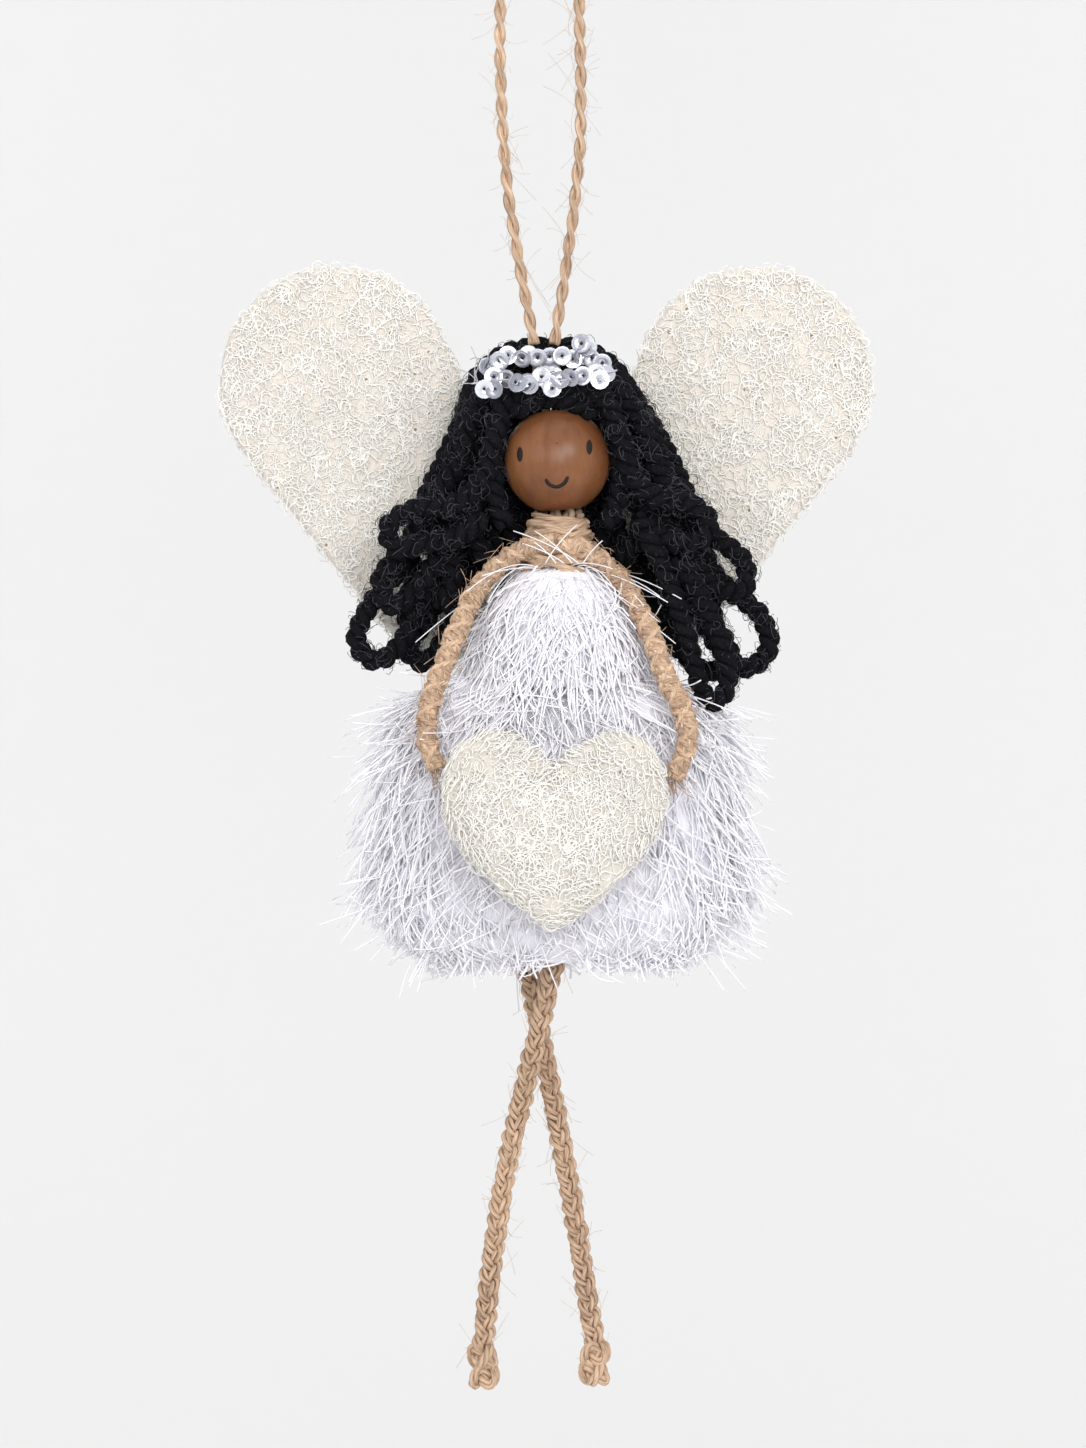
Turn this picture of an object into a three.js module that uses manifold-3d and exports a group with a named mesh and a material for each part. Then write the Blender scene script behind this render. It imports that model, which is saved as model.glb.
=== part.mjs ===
// A hanging angel ornament of wood, twine, felt and fringe.
// Millimetres, +Z up, its front towards -Y. The origin is where a hook carries the hanging loop.
import * as THREE from "three";
import { mergeVertices } from "three/addons/utils/BufferGeometryUtils.js";
import Module from "manifold-3d";

const wasm = await Module();
wasm.setup();

// Driving dimensions
const GAP = 0.3; // clearance between pieces that touch
const CUT_PAST = 1; // how far a cut runs on past the face that it opens
const TWINE_RADIUS = 0.9; // hanging twine
const THIN_TWINE_RADIUS = 0.55; // twine wound on neck and arms
const WIRE_RADIUS = 0.5; // arm wire
const HAIR_RADIUS = 1.5; // chenille cord
const HAIR_LAYER_GAP = 0.45; // clearance between neighbouring layers of hair
const HAIR_FRONT_LAYERS = 1; // layers in front of the one that holds the hanging twine

const BEAD_RADIUS = 8;
const BEAD_BORE_RADIUS = 2.4;
const BEAD_TILT = THREE.MathUtils.degToRad(-5.8); // the head leans to its right
const BEAD_X = 2.55;
const BEAD_Z = -76.65;

const LOOP_PIVOT_Z = -59.1; // where the twine bends above the hair
const LOOP_ENDS_X = 0.65; // middle of the two strands there
const LOOP_ENDS_APART = 3;
const TAILS_APART = 2.1; // the two strands inside the bead
const STOPPER_RADIUS = 1.7;

const BODY_X = 2.7; // axis of neck, dress and spine
const NECK_TOP_Z = -85.9;
const NECK_BOTTOM_Z = -91.6;
const NECK_TOP_RADIUS = 3.2; // to the middle of the wound twine
const NECK_BOTTOM_RADIUS = 5.5;
const NECK_TURNS = 3.5;
const SPINE_RADIUS = 1.5;

const BODICE_HEIGHT = 15.6;
const BODICE_TOP_RADIUS = 5.4;
const BODICE_BOTTOM_RADIUS = 13.4;
const BODICE_DEPTH_SHARE = 0.88; // depth of the bodice against its width
const SKIRT_HEIGHT = 44;
const SKIRT_RADIUS = 31;
const SKIRT_DEPTH_SHARE = 0.6;
const TUFT_COUNT = 12;
const TUFT_SHARE = 0.025; // how far a tuft of fringe stands out

const HEART_HALF_WIDTH = 17.1;
const HEART_TOP = 15.1; // lobes above the heart's centre
const HEART_TIP = 15.1; // point below it
const HEART_CLEFT = 10; // cleft above it
const HEART_CLEFT_CURL = 3.4; // how far the lobes run straight up out of the cleft
const HEART_THICKNESS = 6;
const HEART_RIM = 2.4;
const HEART_X = 2.1;
const HEART_Z = -131.9;
const HEART_LEAN = THREE.MathUtils.degToRad(4);

const WING_THICKNESS = 3.6;
const WING_BEVEL = 0.8;
const WING_TIP_RADIUS = 17.6;
const WING_ROOT_RADIUS = 13.3;
const WING_MIDDLE_X = 0.9; // plane that the two wings mirror in
const WING_TIP_OUT = 32; // from that plane
const WING_TIP_Z = -64.1;
const WING_ROOT_OUT = 14.2;
const WING_ROOT_Z = -93;

const LEG_RADIUS = 1.8;
const LEG_APART = 4.2; // front leg's plane to the rear leg's
const HIP_X = 0.05; // middle of the two hips
const HIP_RISE = 2.15; // from the skirt's hem up to the hips
const HIP_DISC_RADIUS = 7;
const HIP_DISC_THICKNESS = 1.2;
const KNOT_RADIUS = 2.7;
const KNOT_HEIGHT = 6.9;

const SEQUIN_RADIUS = 1.35;
const SEQUIN_CUP = 0.6;
const THREAD_RADIUS = 0.3;
const SEQUIN_LEAN = 0.24; // to one side and the other along a string, in radians
const SEQUIN_COUNT = 8; // on each string

const ARM_TURNS = 16;
const SHOULDER_Y = -2; // the arms start in front of the spine
const WINDING_TILT_STEPS = 10; // steps in one turn of an arm's winding

// Materials
const finish = (color, roughness, metalness = 0) =>
  new THREE.MeshStandardMaterial({ color, roughness, metalness });
const twine = finish(0xb08a5c, 0.9);
const stainedWood = finish(0x7d4a2b, 0.4);
const plainWood = finish(0xc9a877, 0.7);
const hairCord = finish(0x0d0c0d, 0.95);
const sequinSilver = finish(0xc9ccd0, 0.2, 0.8);
const fringe = finish(0xf1eff5, 0.45);
const felt = finish(0xf0ebdf, 0.95);
const steelWire = finish(0x8c8a86, 0.4, 0.9);

const ornament = new THREE.Group();

// Adds one named piece to the ornament.
function piece(name, geometry, material) {
  const mesh = new THREE.Mesh(geometry, material);
  mesh.name = name;
  ornament.add(mesh);
  return mesh;
}

// A closed geometry as a manifold solid.
function solid(geometry) {
  const bare = geometry.clone();
  bare.deleteAttribute("normal");
  bare.deleteAttribute("uv");
  const merged = mergeVertices(bare, 1e-3);
  return new wasm.Manifold(
    new wasm.Mesh({
      numProp: 3,
      vertProperties: new Float32Array(merged.attributes.position.array),
      triVerts: new Uint32Array(merged.index.array),
    }),
  );
}

// A manifold solid as a geometry.
function geometryOf(made) {
  const mesh = made.getMesh();
  const geometry = new THREE.BufferGeometry();
  geometry.setAttribute("position", new THREE.BufferAttribute(mesh.vertProperties, 3));
  geometry.setIndex(new THREE.BufferAttribute(mesh.triVerts, 1));
  geometry.computeVertexNormals();
  return geometry;
}

const joined = (...parts) => geometryOf(parts.map(solid).reduce((a, b) => a.add(b)));
const cut = (body, ...tools) =>
  geometryOf(tools.map(solid).reduce((a, b) => a.subtract(b), solid(body)));

const curveThrough = (route) =>
  new THREE.CatmullRomCurve3(
    route.map((p) => new THREE.Vector3(...p)),
    false,
    "centripetal",
  );

// A round cord along a route, with square ends.
function cord(route, radius, steps, sides = 8) {
  const corners = Array.from({ length: sides }, (_, i) => {
    const angle = (2 * Math.PI * i) / sides;
    return new THREE.Vector2(radius * Math.cos(angle), radius * Math.sin(angle));
  });
  return new THREE.ExtrudeGeometry(new THREE.Shape(corners), {
    steps,
    extrudePath: curveThrough(route),
  });
}

// A ball centred on a point, for the end of a cord that swings there.
function ball(centre, radius) {
  return new THREE.SphereGeometry(radius, 8, 6).translate(...centre);
}

// A profile of [radius, height] points turned round the vertical axis.
function turned(profile, segments = 24) {
  const points = profile.map(([r, z]) => new THREE.Vector2(r, z));
  return new THREE.LatheGeometry(points, segments).rotateX(Math.PI / 2);
}

// An upright cylinder between two heights.
function post(radius, bottom, top, segments = 16) {
  return new THREE.CylinderGeometry(radius, radius, top - bottom, segments)
    .rotateX(Math.PI / 2)
    .translate(0, 0, (top + bottom) / 2);
}

// A wound tube: rings of corners carried along the points, each square to the way on, with flat ends.
function woundTube(points, radius, sides) {
  const last = points.length - 1;
  const corners = [];
  const side = new THREE.Vector3(0.31, 0.83, 0.47);
  points.forEach((point, i) => {
    const ahead = points[Math.min(i + 1, last)].clone().sub(points[Math.max(i - 1, 0)]).normalize();
    side.addScaledVector(ahead, -side.dot(ahead)).normalize();
    const up = ahead.clone().cross(side);
    for (let k = 0; k < sides; k++) {
      const angle = (2 * Math.PI * k) / sides;
      const corner = point.clone();
      corner.addScaledVector(side, radius * Math.cos(angle));
      corner.addScaledVector(up, radius * Math.sin(angle));
      corners.push(...corner.toArray());
    }
  });
  const faces = [];
  for (let i = 0; i < last; i++)
    for (let k = 0; k < sides; k++) {
      const a = i * sides + k;
      const b = i * sides + ((k + 1) % sides);
      faces.push(a, b, a + sides, b, b + sides, a + sides);
    }
  const end = last * sides;
  for (let k = 1; k < sides - 1; k++) faces.push(0, k + 1, k, end, end + k, end + k + 1);
  const geometry = new THREE.BufferGeometry();
  geometry.setAttribute("position", new THREE.Float32BufferAttribute(corners, 3));
  return geometry.setIndex(faces);
}

// The least gap between stretches of a wound tube that are at least half a turn apart.
function printLeastGap(name, points, radius, stepsPerTurn) {
  let least = Infinity;
  for (let i = 0; i < points.length; i++)
    for (let k = i + Math.ceil(stepsPerTurn / 2); k < points.length; k++)
      least = Math.min(least, points[i].distanceTo(points[k]));
  console.log(`${name}: least gap to itself ${(least - 2 * radius).toFixed(2)} mm`);
}

// Both ends of a winding run straight on for one tube diameter.
function withStraightEnds(points, radius) {
  const n = points.length;
  const before = points[0].clone().sub(points[1]).setLength(2 * radius).add(points[0]);
  const after = points[n - 1].clone().sub(points[n - 2]).setLength(2 * radius).add(points[n - 1]);
  return [before, ...points, after];
}

// Hanging loop: up one strand, over the hook and down the other, its ends balls in the bend above the hair.
const loopLeftX = LOOP_ENDS_X - LOOP_ENDS_APART / 2;
const loopRightX = LOOP_ENDS_X + LOOP_ENDS_APART / 2;
const hangingRoute = [
  [loopLeftX, 0, LOOP_PIVOT_Z],
  [-2.1, 0, -52.5],
  [-3.4, 0, -45.3],
  [-5, 0, -34.6],
  [-5.8, 0, -22.4],
  [-6, 0, -10.5],
  [-5.6, 0, -4.2],
  [-3.4, 0, -0.4],
  [0, 0, TWINE_RADIUS],
  [3.4, 0, -0.4],
  [5.5, 0, -4.2],
  [5.9, 0, -10.5],
  [6.1, 0, -21.3],
  [6, 0, -28.8],
  [5.1, 0, -38.5],
  [4, 0, -46.8],
  [loopRightX, 0, LOOP_PIVOT_Z],
];
piece(
  "hanging_loop",
  joined(
    cord(hangingRoute, TWINE_RADIUS, 30),
    ball(hangingRoute[0], TWINE_RADIUS),
    ball(hangingRoute.at(-1), TWINE_RADIUS),
  ),
  twine,
);

// Tails of the loop: down through the hair and the bead to the stopper knot under it.
const beadTop = new THREE.Vector3(
  BEAD_X + BEAD_RADIUS * Math.sin(BEAD_TILT),
  0,
  BEAD_Z + BEAD_RADIUS * Math.cos(BEAD_TILT),
);
const beadBottom = new THREE.Vector3(2 * BEAD_X - beadTop.x, 0, 2 * BEAD_Z - beadTop.z);
const tailTopZ = LOOP_PIVOT_Z - TWINE_RADIUS - GAP;
const stopperZ = beadBottom.z - GAP - STOPPER_RADIUS;
const tail = (side) =>
  cord(
    [
      [LOOP_ENDS_X + (side * LOOP_ENDS_APART) / 2, 0, tailTopZ],
      [beadTop.x + (side * TAILS_APART) / 2, 0, beadTop.z],
      [BEAD_X + (side * TAILS_APART) / 2, 0, BEAD_Z],
      [beadBottom.x + (side * TAILS_APART) / 2, 0, beadBottom.z],
      [BODY_X + (side * STOPPER_RADIUS) / 3, 0, stopperZ],
    ],
    TWINE_RADIUS,
    8,
  );
piece(
  "hanger_tails",
  joined(tail(-1), tail(1), ball([BODY_X, 0, stopperZ], STOPPER_RADIUS)),
  twine,
);

// Head bead: a sphere bored through, tilted with its face.
const boreRise = Math.sqrt(BEAD_RADIUS ** 2 - BEAD_BORE_RADIUS ** 2);
const boreAngle = Math.acos(boreRise / BEAD_RADIUS);
const BEAD_ARC_STEPS = 12;
const beadArc = Array.from({ length: BEAD_ARC_STEPS + 1 }, (_, i) => {
  const angle = boreAngle + ((Math.PI - 2 * boreAngle) * i) / BEAD_ARC_STEPS;
  return [BEAD_RADIUS * Math.sin(angle), -BEAD_RADIUS * Math.cos(angle)];
});
const bead = piece("head_bead", turned([...beadArc, beadArc[0]], 28), stainedWood);
bead.position.set(BEAD_X, 0, BEAD_Z);
bead.rotation.y = BEAD_TILT;

// Hair: cords laid in layers from front to back, each one falling from the parting to an open loop.
const HAIR_PITCH = 2 * HAIR_RADIUS + HAIR_LAYER_GAP;
const hairDepth = (layer) => (layer - HAIR_FRONT_LAYERS) * HAIR_PITCH;
const hairLeft = [
  [[1.2, -65.4], [-4.8, -67.2], [-6.9, -73.5], [-8.7, -79.8], [-13.2, -83.4], [-18.8, -84], [-22.8, -86.8],
    [-21.6, -89.8], [-16.8, -89.2], [-11.7, -87.9], [-8.1, -84.9]],
  [[-1.8, -64.5], [-7.2, -66.3], [-10.5, -71.7], [-12.3, -77.4], [-15.9, -82.5], [-19.8, -88.8], [-24, -94.8],
    [-22.2, -98.4], [-18.3, -95.7], [-15, -90.3], [-11.4, -85.5], [-8.4, -81], [-7.5, -77.1]],
  [[1.2, -60.3], [-4.8, -61.2], [-8.8, -65], [-11.4, -71.4], [-13.5, -79.2], [-17.4, -87], [-21.6, -93.3], [-26.1, -99],
    [-27.6, -103.8], [-24.9, -106.6], [-21.3, -104.4], [-18.6, -98.7], [-14.7, -91.8], [-10.5, -85.8], [-8.1, -80.4]],
  [[1.2, -61.2], [-4.6, -62.2], [-8.2, -66.4], [-9.6, -72.3], [-10.5, -79.8], [-11.7, -87.3], [-14.1, -94.5], [-17.4, -100.6],
    [-20, -104.8], [-17.6, -106.9], [-14.3, -103], [-10.5, -96], [-7.5, -89.4], [-6.3, -83.4]],
  [[1.2, -66.9], [-4.8, -67.8], [-6.6, -73.5], [-6.6, -81], [-6, -88.5], [-5.4, -94.5], [-3.3, -97.2],
    [-0.6, -94.8], [-0.3, -88.5], [-0.3, -82.5]],
];
const hairRight = [
  [[2.3, -65.4], [9, -66.9], [12, -72.9], [13.8, -79.2], [17.7, -82.5], [22.8, -83.4], [25.5, -86.1],
    [23.1, -89.2], [18, -88.2], [14.1, -85.2]],
  [[4.6, -64.5], [11.4, -66.3], [15, -71.4], [17.1, -77.1], [21, -82.8], [26.1, -87.9], [30.6, -91.8],
    [30.6, -95.7], [26.4, -96], [22.5, -91.5], [18.9, -86.4], [15, -81.6], [12.9, -77.4]],
  [[2.3, -60.3], [8.2, -61], [12.6, -64.8], [15.8, -71.2], [18.6, -79.5], [22.8, -88.2], [27.9, -95.4], [33, -99.6],
    [34.5, -104.7], [31.2, -107.7], [27.3, -105], [23.7, -99], [19.8, -92.4], [15.9, -86.4], [13.8, -81]],
  [[2.3, -61.2], [8.4, -62], [12.4, -66.2], [14, -72.3], [15.3, -80.4], [18.6, -90.3], [22.8, -98.3], [27.4, -102.6],
    [28.6, -106.2], [25.4, -108.2], [22.2, -106], [18.8, -101.6], [15.3, -96], [12.3, -89.7], [11.1, -83.4]],
  [[2.3, -66.9], [9.3, -67.8], [11.4, -73.5], [11.1, -81], [10.2, -88.5], [9.3, -94.5], [7.2, -97.2],
    [4.5, -94.8], [4.2, -88.5], [4.2, -82.5]],
];
const HAIR_STEPS = 26;
for (const [side, locks] of [["left", hairLeft], ["right", hairRight]])
  locks.forEach((lock, layer) => {
    const route = lock.map(([x, z]) => [x, hairDepth(layer), z]);
    piece(`hair_${side}_${layer + 1}`, cord(route, HAIR_RADIUS, HAIR_STEPS, 6), hairCord);
  });

// Tiara: cup sequins overlapping along a thread, in a string over the hair and one in front of it.
function sequinString(route) {
  const thread = curveThrough(route);
  const parts = [cord(route, THREAD_RADIUS, 12, 6)];
  for (let i = 0; i < SEQUIN_COUNT; i++) {
    const cup = new THREE.CylinderGeometry(SEQUIN_RADIUS, 0.6 * SEQUIN_RADIUS, SEQUIN_CUP, 8);
    cup.rotateZ(Math.PI).rotateZ(i % 2 ? SEQUIN_LEAN : -SEQUIN_LEAN);
    const at = thread.getPointAt((i + 0.5) / SEQUIN_COUNT);
    parts.push(cup.translate(at.x, at.y, at.z));
  }
  return joined(...parts);
}
const tiaraUpper = [[-9, -63.3], [-4.5, -61.2], [1.2, -60.9], [6.8, -61], [10.8, -62.7]];
const tiaraLower = [[-10.2, -65.4], [-5.2, -64.8], [0.8, -65.1], [6, -64.5], [11.5, -63.4]];
const tiaraTopY = -TWINE_RADIUS - GAP - SEQUIN_CUP - THREAD_RADIUS;
const tiaraFrontY = hairDepth(0) - HAIR_RADIUS - GAP - SEQUIN_CUP - THREAD_RADIUS;
for (const [name, route, depth] of [
  ["tiara_upper_string", tiaraUpper, tiaraTopY],
  ["tiara_lower_string", tiaraLower, tiaraFrontY],
])
  piece(name, sequinString(route.map(([x, z]) => [x, depth, z])), sequinSilver);

// Neck: thin twine wound round a flaring core.
const neckRadius = (share) => NECK_TOP_RADIUS + (NECK_BOTTOM_RADIUS - NECK_TOP_RADIUS) * share ** 1.5;
const neckZ = (share) => NECK_TOP_Z + (NECK_BOTTOM_Z - NECK_TOP_Z) * share;
const NECK_STEPS_PER_TURN = 18;
const neckPoints = Array.from({ length: NECK_TURNS * NECK_STEPS_PER_TURN + 1 }, (_, i) => {
  const share = i / (NECK_TURNS * NECK_STEPS_PER_TURN);
  const angle = 2 * Math.PI * NECK_TURNS * share;
  const radius = neckRadius(share);
  return new THREE.Vector3(BODY_X + radius * Math.sin(angle), radius * Math.cos(angle), neckZ(share));
});
const neckWinding = withStraightEnds(neckPoints, THIN_TWINE_RADIUS);
printLeastGap("neck_winding", neckWinding, THIN_TWINE_RADIUS, NECK_STEPS_PER_TURN);
piece("neck_winding", woundTube(neckWinding, THIN_TWINE_RADIUS, 6), twine);

const coreTopZ = stopperZ - STOPPER_RADIUS - GAP;
const coreBottomZ = NECK_BOTTOM_Z - THIN_TWINE_RADIUS - GAP;
const coreShare = (z) => THREE.MathUtils.clamp((z - NECK_TOP_Z) / (NECK_BOTTOM_Z - NECK_TOP_Z), 0, 1);
const coreRadius = (z) => neckRadius(coreShare(z)) - THIN_TWINE_RADIUS * 1.25 - GAP;
const CORE_RINGS = 4;
const coreSide = Array.from({ length: CORE_RINGS + 1 }, (_, i) => {
  const z = coreBottomZ + ((coreTopZ - coreBottomZ) * i) / CORE_RINGS;
  return [coreRadius(z), z];
});
piece("neck_core", turned([[0, coreBottomZ], ...coreSide, [0, coreTopZ]]), plainWood).position.x = BODY_X;

// Dress: two tiers of fringe, tufted round their rims, threaded on the spine.
function tufted(geometry) {
  const place = geometry.attributes.position;
  for (let i = 0; i < place.count; i++) {
    const angle = Math.atan2(place.getY(i), place.getX(i));
    const grow = 1 + TUFT_SHARE * Math.cos(TUFT_COUNT * angle);
    place.setXY(i, place.getX(i) * grow, place.getY(i) * grow);
  }
  return geometry;
}
const spineBore = (bottom, top) => post(SPINE_RADIUS + GAP, bottom - CUT_PAST, top + CUT_PAST);

const bodiceTop = coreBottomZ - GAP;
const bodiceBottom = bodiceTop - BODICE_HEIGHT;
const BODICE_RINGS = 5;
const bodiceSide = Array.from({ length: BODICE_RINGS + 1 }, (_, i) => {
  const share = i / BODICE_RINGS;
  const flare = Math.sin((share * Math.PI) / 2) ** 0.9;
  return [
    BODICE_TOP_RADIUS + (BODICE_BOTTOM_RADIUS - BODICE_TOP_RADIUS) * flare,
    bodiceTop - BODICE_HEIGHT * share,
  ];
});
const bodiceBell = tufted(
  turned([[0, bodiceBottom], ...bodiceSide.toReversed(), [0, bodiceTop]], 48),
).scale(1, BODICE_DEPTH_SHARE, 1);
piece("dress_bodice", cut(bodiceBell, spineBore(bodiceBottom, bodiceTop)), fringe).position.x = BODY_X;

const skirtTop = bodiceBottom - GAP;
const skirtBottom = skirtTop - SKIRT_HEIGHT;
// The skirt's half width against how far down it is, both as shares.
const skirtForm = [[0.43, 0], [0.64, 0.03], [0.79, 0.1], [0.89, 0.27], [0.95, 0.48], [1, 0.69], [0.94, 0.82],
  [0.78, 0.93], [0.52, 1]];
const skirtSide = skirtForm.map(([r, down]) => [SKIRT_RADIUS * r, skirtTop - SKIRT_HEIGHT * down]);
const skirtBell = tufted(
  turned([[0, skirtBottom], ...skirtSide.toReversed(), [0, skirtTop]], 48),
).scale(1, SKIRT_DEPTH_SHARE, 1);
const hipZ = skirtBottom + HIP_RISE;
const hipDiscBottom = hipZ + LEG_RADIUS + GAP;
const hipDiscTop = hipDiscBottom + HIP_DISC_THICKNESS;
const hipHollow = post(HIP_DISC_RADIUS + GAP, skirtBottom - CUT_PAST, hipDiscTop + GAP, 24);
hipHollow.translate(HIP_X - BODY_X, 0, 0);
piece(
  "dress_skirt",
  cut(skirtBell, spineBore(skirtBottom, skirtTop), hipHollow),
  fringe,
).position.x = BODY_X;

piece("spine_stick", post(SPINE_RADIUS, hipDiscTop + GAP, coreBottomZ - GAP, 12), plainWood).position.x = BODY_X;
piece("hip_disc", post(HIP_DISC_RADIUS, hipDiscBottom, hipDiscTop, 24), plainWood).position.x = HIP_X;

// Arms: wire wound with thin twine, from the shoulders forward to the sides of the heart, each hand on the skirt.
const armLeft = [[-6, -91.8], [-10.5, -97.5], [-13.9, -106.5], [-16.5, -114], [-16.5, -119.2], [-15, -122.7]];
const armRight = [[11.2, -93.3], [15.8, -101.2], [18.8, -109.5], [21.4, -114.8], [21.8, -118.5], [19.8, -124.2]];
// How far each point of an arm has come forward, as a share of the way from shoulder to hand.
const armForwardShares = [0, 0.35, 0.72, 0.91, 0.98, 1];
const armWindingRadius = WIRE_RADIUS + GAP + THIN_TWINE_RADIUS;
const armSeat = armWindingRadius + THIN_TWINE_RADIUS + GAP;

// The skirt's front at a place across it and a height.
function skirtFront(x, z) {
  const below = skirtSide.findIndex(([, level]) => level < z);
  const [[upperRadius, upperZ], [lowerRadius, lowerZ]] = [skirtSide[below - 1], skirtSide[below]];
  const radius = THREE.MathUtils.mapLinear(z, upperZ, lowerZ, upperRadius, lowerRadius);
  return -SKIRT_DEPTH_SHARE * Math.sqrt(radius ** 2 - (x - BODY_X) ** 2);
}
for (const [side, places] of [["left", armLeft], ["right", armRight]]) {
  const handY = skirtFront(...places.at(-1)) - armSeat;
  const route = places.map(([x, z], i) => [x, SHOULDER_Y + (handY - SHOULDER_Y) * armForwardShares[i], z]);
  piece(`arm_wire_${side}`, cord(route, WIRE_RADIUS, 14, 6), steelWire);
  const count = ARM_TURNS * WINDING_TILT_STEPS;
  const guide = curveThrough(route);
  const frames = guide.computeFrenetFrames(count);
  const points = Array.from({ length: count + 1 }, (_, i) => {
    const angle = (2 * Math.PI * i) / WINDING_TILT_STEPS;
    return guide
      .getPointAt(i / count)
      .addScaledVector(frames.normals[i], armWindingRadius * Math.cos(angle))
      .addScaledVector(frames.binormals[i], armWindingRadius * Math.sin(angle));
  });
  const winding = withStraightEnds(points, THIN_TWINE_RADIUS);
  printLeastGap(`arm_winding_${side}`, winding, THIN_TWINE_RADIUS, WINDING_TILT_STEPS);
  piece(`arm_winding_${side}`, woundTube(winding, THIN_TWINE_RADIUS, 5), twine);
}

// Heart: a puffy felt form, crowned on both faces between drawn-in rims.
function heartOutline() {
  const half = new THREE.CurvePath();
  const at = (x, z) => new THREE.Vector2(x * HEART_HALF_WIDTH, z);
  half.add(new THREE.CubicBezierCurve(
    at(0, HEART_CLEFT), at(0.08, HEART_CLEFT + HEART_CLEFT_CURL), at(0.27, HEART_TOP), at(0.51, HEART_TOP)));
  half.add(new THREE.CubicBezierCurve(
    at(0.51, HEART_TOP), at(0.79, HEART_TOP), at(1, HEART_TOP * 0.76), at(1, HEART_TOP * 0.38)));
  half.add(new THREE.CubicBezierCurve(
    at(1, HEART_TOP * 0.38), at(1, -HEART_TIP * 0.1), at(0.5, -HEART_TIP * 0.62), at(0, -HEART_TIP)));
  const right = half.getSpacedPoints(18);
  const left = right.slice(1, -1).reverse().map((p) => new THREE.Vector2(-p.x, p.y));
  return [...right, ...left];
}
function pillow(outline, centreZ, rim, thickness) {
  const shares = [1, 0.94, 0.8, 0.55, 0.28];
  const count = outline.length;
  const corners = [];
  for (const face of [-1, 1]) {
    for (const share of shares) {
      const crown = ((thickness - rim) / 2) * Math.sqrt(1 - share ** 2.4);
      for (const p of outline)
        corners.push(p.x * share, face * (rim / 2 + crown), centreZ + (p.y - centreZ) * share);
    }
    corners.push(0, (face * thickness) / 2, centreZ);
  }
  const faces = [];
  const perFace = shares.length * count + 1;
  const add = (front, a, b, c) => faces.push(...(front ? [a, c, b] : [a, b, c]));
  for (const front of [true, false]) {
    const first = front ? 0 : perFace;
    for (let k = 0; k < count; k++) {
      const n = (k + 1) % count;
      for (let ring = 0; ring < shares.length - 1; ring++) {
        const a = first + ring * count;
        add(front, a + k, a + n, a + count + k);
        add(front, a + n, a + count + n, a + count + k);
      }
      const inner = first + (shares.length - 1) * count;
      add(front, inner + k, inner + n, first + perFace - 1);
    }
  }
  for (let k = 0; k < count; k++) {
    const n = (k + 1) % count;
    faces.push(k, n, perFace + k, n, perFace + n, perFace + k);
  }
  const geometry = new THREE.BufferGeometry();
  geometry.setAttribute("position", new THREE.Float32BufferAttribute(corners, 3));
  return geometry.setIndex(faces);
}
const heartY = -(SKIRT_RADIUS * SKIRT_DEPTH_SHARE * (1 + TUFT_SHARE) + GAP + HEART_THICKNESS / 2);
const heart = piece(
  "felt_heart",
  pillow(heartOutline(), HEART_CLEFT - HEART_TOP * 0.6, HEART_RIM, HEART_THICKNESS),
  felt,
);
heart.position.set(HEART_X, heartY, HEART_Z);
heart.rotation.x = -HEART_LEAN;

// Wings: felt paddles, the hull of a broad tip and a narrower root, behind the hair.
function paddle() {
  const along = new THREE.Vector2(WING_ROOT_OUT - WING_TIP_OUT, WING_ROOT_Z - WING_TIP_Z);
  const lean = Math.atan2(along.y, along.x);
  const open = Math.acos((WING_TIP_RADIUS - WING_ROOT_RADIUS) / along.length());
  const outline = new THREE.Shape();
  outline.absarc(WING_TIP_OUT, WING_TIP_Z, WING_TIP_RADIUS, lean + open, lean - open + 2 * Math.PI);
  outline.absarc(WING_ROOT_OUT, WING_ROOT_Z, WING_ROOT_RADIUS, lean - open, lean + open);
  return new THREE.ExtrudeGeometry(outline, {
    depth: WING_THICKNESS - 2 * WING_BEVEL,
    bevelThickness: WING_BEVEL,
    bevelSize: WING_BEVEL,
    bevelOffset: -WING_BEVEL,
    bevelSegments: 2,
    curveSegments: 12,
  }).rotateX(Math.PI / 2);
}
const HAIR_LAYERS = hairLeft.length;
const wingFront = hairDepth(HAIR_LAYERS - 1) + HAIR_RADIUS + GAP;
const rightWing = piece("wing_right", paddle(), felt);
rightWing.position.set(WING_MIDDLE_X, wingFront + WING_THICKNESS - WING_BEVEL, 0);
const leftWing = piece("wing_left", paddle(), felt);
leftWing.position.copy(rightWing.position);
leftWing.scale.x = -1;

// Legs: cords that cross below the skirt, each hung on a ball under the hip disc and knotted at the foot.
const knotForm = [[0, 0], [0.55, 0.02], [0.95, 0.14], [1, 0.3], [0.8, 0.47], [0.95, 0.62], [0.98, 0.78],
  [0.62, 0.97], [0, 1]];
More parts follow.
